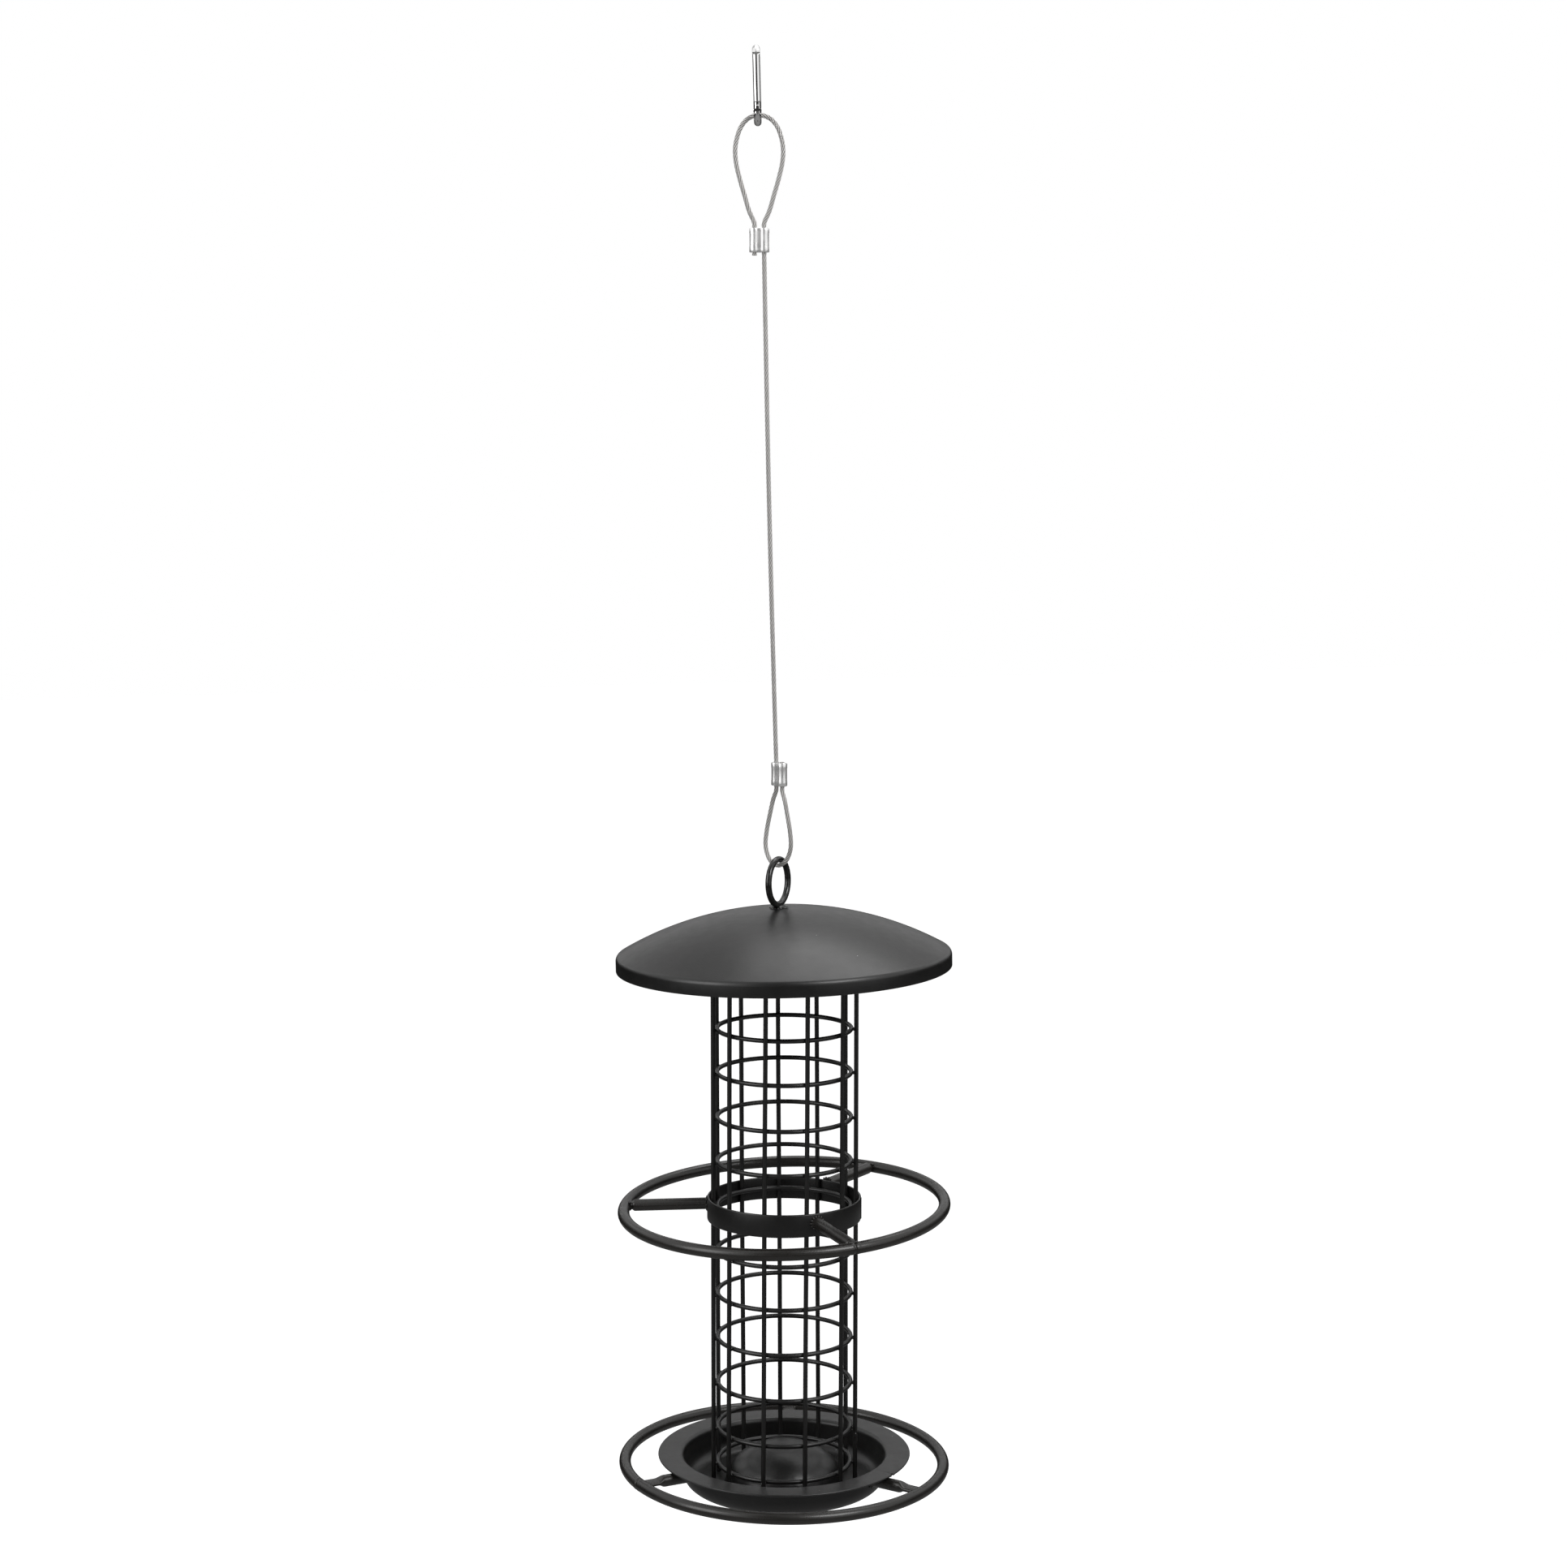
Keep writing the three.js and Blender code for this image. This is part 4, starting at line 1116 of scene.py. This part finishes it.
def make_perch(prefix, level, carrier_radius, perch, shape):
    """A ring of rod, pinched at its butt weld and swollen beside it, and its spokes."""
    tilt = about("X", math.radians(perch["tilt"]))
    place = shifted(z=level) @ tilt @ about("Y", math.radians(perch["side_tilt"]))
    seam_angle = math.radians(perch["seam"])

    def gauge(angle):
        off = abs((angle - seam_angle + math.pi) % (2 * math.pi) - math.pi) * PERCH_RADIUS
        waves = (share * math.exp(-((off - at) / width) ** 2) for share, at, width in SEAM_WAVES)
        return sum(waves, 1)

    seam = seam_angle + np.linspace(-SEAM_REACH, SEAM_REACH, SEAM_STEPS) / PERCH_RADIUS
    angles = np.sort(np.concatenate([even_angles(PERCH_SEGMENTS), seam]))
    ring = moved(wire_ring(PERCH_RADIUS, PERCH_ROD / 2, angles, PERCH_SIDES, gauge), place)
    name = f"{prefix}_perch_ring"
    put_up(f"{name}_rod", ring, perch_black, "cage", [name], crease=50)
    for i, angle in enumerate(perch["spokes"]):
        spoke = spoke_body(carrier_radius, 17.0 * i + carrier_radius, shape)
        spoke = moved(spoke, place @ about("Z", math.radians(angle)))
        name = f"{prefix}_perch_spoke_{i + 1:02d}"
        put_up(f"{name}_tube", spoke, perch_black, "cage", [name], crease=45)


# Tray

def tray_skin(inset):
    """One side of the sheet from the rim to the middle, raised by the inset."""
    level = inset - TRAY_SHEET
    floor = inset - TRAY_DEPTH
    shoulder = TRAY_SHOULDER + inset
    centre = [
        (across * (TRAY_CENTRE_RADIUS - TRAY_SHEET + inset), floor + up * TRAY_CENTRE_HEIGHT)
        for across, up in arc(0, 0, 1, 0, math.pi / 2, CENTRE_STEPS)
    ]
    centre[-1] = (0.0, centre[-1][1])
    return [
        (TRAY_RIM_RADIUS - TRAY_HEM, level),
        *arc(
            TRAY_RADIUS + TRAY_SHOULDER, level - shoulder, shoulder,
            math.pi / 2, math.pi, SHOULDER_STEPS,
        ),
        *arc(
            TRAY_RADIUS - TRAY_CORNER, TRAY_CORNER - TRAY_DEPTH, TRAY_CORNER - inset,
            0, -math.pi / 2, CORNER_STEPS,
        ),
        *((TRAY_CENTRE_RADIUS + out, floor + up) for out, up in TRAY_FOOT),
        *centre[1:],
    ]


def make_tray():
    half = TRAY_SHEET / 2
    rim = arc(TRAY_RIM_RADIUS - half, -half, half, -math.pi / 2, math.pi / 2, HEM_STEPS)
    outline = [*reversed(tray_skin(0)), *rim, *tray_skin(TRAY_SHEET)]
    near = np.linspace(-NICK_SPAN, NICK_SPAN, NICK_STEPS) * NICK_WIDTH / TRAY_RIM_RADIUS
    angles = np.sort(np.concatenate([even_angles(TRAY_SEGMENTS), NICK_ANGLE + near]))
    points = []
    for a in angles:
        across = (a - NICK_ANGLE) * TRAY_RIM_RADIUS / NICK_WIDTH * 2
        bite = NICK_DEPTH * max(0.0, 1 - abs(across) ** NICK_POWER)
        curl = NICK_CURL * math.exp(-(across / NICK_CURL_WIDTH) ** 2)
        for r, z in outline:
            share = max(0.0, 1 - (TRAY_RIM_RADIUS - r) / NICK_REACH)
            reach = r - bite * min(1.0, share * 1.4)
            level = z - curl * share - TRAY_RIM_DROP
            points.append((reach * math.cos(a), reach * math.sin(a), level))
    dish = np.array(points), grid_faces(len(angles), len(outline), wrap_rows=True)
    put_up("tray_pressing", dish, black, "cage", ["tray"], crease=40)


# Studio, in metres: a pale floor well under the feeder, soft lamps, a white surround, and cloths
# from dark to pale that only show in the gloss of the coat and the metal

FLOOR_LEVEL = -1.45
FLOOR_HALF_SIZE = 14
FLOOR_LIFT_SPAN = (0.7, 1.55)  # from the feeder, where the floor begins and ends to lighten
FLOOR_LIFT = (0.1, 0.64)  # its own light inside and outside of that

CLOTH_RADIUS = 3.2
CLOTH_FLOOR = FLOOR_LEVEL + 0.002
CLOTH_HIGH = 0.5  # where the cloths begin to bend in over the top
CLOTH_LEVELS = (CLOTH_FLOOR, -0.85, -0.25, 0.13, CLOTH_HIGH)
CLOTH_BACK_STEPS = 13  # of the crown, where the back turns from pale to dark

SURROUND_LIGHT = 0.45  # strength of the surround as light, and as it is seen
SURROUND_SEEN = 1.0


def seen_rays(n):
    """1 for rays that show a surface, straight, in a gloss or through glass, and 0 for light."""
    rays = n.add("LightPath").outputs
    bright = n.math("MAXIMUM", rays["Is Camera Ray"], rays["Is Glossy Ray"])
    return n.math("MAXIMUM", bright, rays["Is Transmission Ray"])


def floor_material():
    """Pale paint that shows white far off and keeps the feeder's shadow near it."""
    n = material_nodes("floor_paint")
    tone = n.mix(n.noise(400, 2), grey(0.9), grey(0.885))
    across = n.add("VectorMath", operation="MULTIPLY")
    n.put(n.place, across.inputs[0])
    across.inputs[1].default_value = (1, 1, 0)
    distance = n.add("VectorMath", operation="LENGTH")
    n.put(across.outputs[0], distance.inputs[0])
    lift = n.spread(distance.outputs["Value"], *FLOOR_LIFT_SPAN, *FLOOR_LIFT)
    return n.finish(
        base_color=tone, roughness=0.9, emission_color=(1, 1, 1, 1),
        emission_strength=n.math("MULTIPLY", seen_rays(n), lift),
    )


def stage_object(name, points, faces, material):
    mesh = bpy.data.meshes.new(name)
    mesh.from_pydata(points, [], faces)
    mesh.materials.append(material)
    thing = new_object(name, mesh)
    return thing


def make_floor():
    half = FLOOR_HALF_SIZE
    corners = [
        (x, y, FLOOR_LEVEL) for x, y in ((-half, -half), (half, -half), (half, half), (-half, half))
    ]
    stage_object("floor", corners, [(0, 1, 2, 3)], floor_material())


def cloth_material(name, tone):
    """A matt weave, a quarter lighter and darker than its tone."""
    n = material_nodes(name)
    weave = n.mix(n.noise(3, 2), grey(0.75 * tone), grey(1.25 * tone))
    n.shader.inputs["Specular IOR Level"].default_value = 0.0
    return n.finish(base_color=weave, roughness=1.0)


def make_cloth(name, outline, start, end, material):
    """A cloth turned about Z between two angles from the front, positive to the right."""
    turns = np.radians(np.linspace(start, end, CLOTH_STEPS + 1))
    points = [(r * math.sin(a), -r * math.cos(a), z) for a in turns for r, z in outline]
    faces = grid_faces(len(turns), len(outline), wrap_columns=False)
    cloth = stage_object(name, points, faces, material)
    cloth.visible_camera = False
    cloth.visible_diffuse = False
    cloth.visible_shadow = False
    cloth.visible_transmission = False


def make_cloths():
    """Dark low down and in a strip up the front and over the top, grey and pale at the back."""
    dark = cloth_material("dark_cloth", 0.016)
    grey_cloth = cloth_material("grey_cloth", 0.2)
    light = cloth_material("light_cloth", 0.3)
    pale = cloth_material("pale_cloth", 0.9)
    foot, low, middle, split, high = ((CLOTH_RADIUS, z) for z in CLOTH_LEVELS)
    crown = arc(0, CLOTH_HIGH, CLOTH_RADIUS, 0, math.pi / 2, CROWN_STEPS)
    make_cloth("floor_cloth", [(0.05, CLOTH_FLOOR), foot], 0, 360, light)
    make_cloth("low_cloth", [foot, low], 0, 360, dark)
    make_cloth("low_back_cloth", [low, middle], 75, 285, dark)
    make_cloth("right_back_cloth", [middle, high], 88, 146, grey_cloth)
    make_cloth("left_back_cloth", [middle, high], 214, 272, grey_cloth)
    make_cloth("pale_back_cloth", [middle, *crown[:CLOTH_BACK_STEPS + 1]], 146, 214, pale)
    make_cloth("high_back_cloth", crown[CLOTH_BACK_STEPS:], 146, 214, dark)
    make_cloth("low_front_cloth", [low, middle], -24, 24, dark)
    make_cloth("front_cloth", [middle, split], -7, 7, dark)
    make_cloth("high_front_cloth", [split, *crown], -23, 23, dark)


def make_lamp(name, place, target, width, height, power):
    data = bpy.data.lights.new(name, "AREA")
    data.shape = "RECTANGLE"
    data.size = width
    data.size_y = height
    data.energy = power
    lamp = new_object(name, data)
    lamp.location = place
    lamp.rotation_euler = (Vector(target) - Vector(place)).to_track_quat("-Z", "Y").to_euler()


def make_world():
    """A white surround at full strength where it is seen, and softer as light."""
    world = bpy.data.worlds.new("surround")
    bpy.context.scene.world = world
    n = Nodes(world, "Background")
    strength = n.spread(seen_rays(n), 0, 1, SURROUND_LIGHT, SURROUND_SEEN)
    n.finish(color=(1, 1, 1, 1), strength=strength)


make_ferrule("upper_ferrule", *UPPER_FERRULE, UPPER_FERRULE_LOW)
make_ferrule("lower_ferrule", *LOWER_FERRULE, LOWER_FERRULE_LOW)
make_hook_body()
make_gate()
make_rivet()
make_lid()
make_cage()
make_collar()
make_perch(
    "upper", UPPER_PERCH_RISE - COLLAR_DROP, COLLAR_OUTER_RADIUS, UPPER_PERCH, UPPER_SPOKE,
)
make_tray()
make_perch("lower", -TRAY_RIM_DROP - LOWER_PERCH_SINK, TRAY_RADIUS, LOWER_PERCH, LOWER_SPOKE)

make_floor()
make_cloths()
make_lamp("key", (1.5, -1.6, 1.3), (0, 0, -0.4), 1.2, 1.2, 34)
make_lamp("fill", (-1.9, -1.2, 0.5), (0, 0, -0.4), 1.2, 1.6, 20)
make_lamp("top", (0.25, 0.6, 0.95), (0, 0, -0.45), 1, 1, 8)
make_world()
bpy.context.scene.view_settings.view_transform = "Standard"
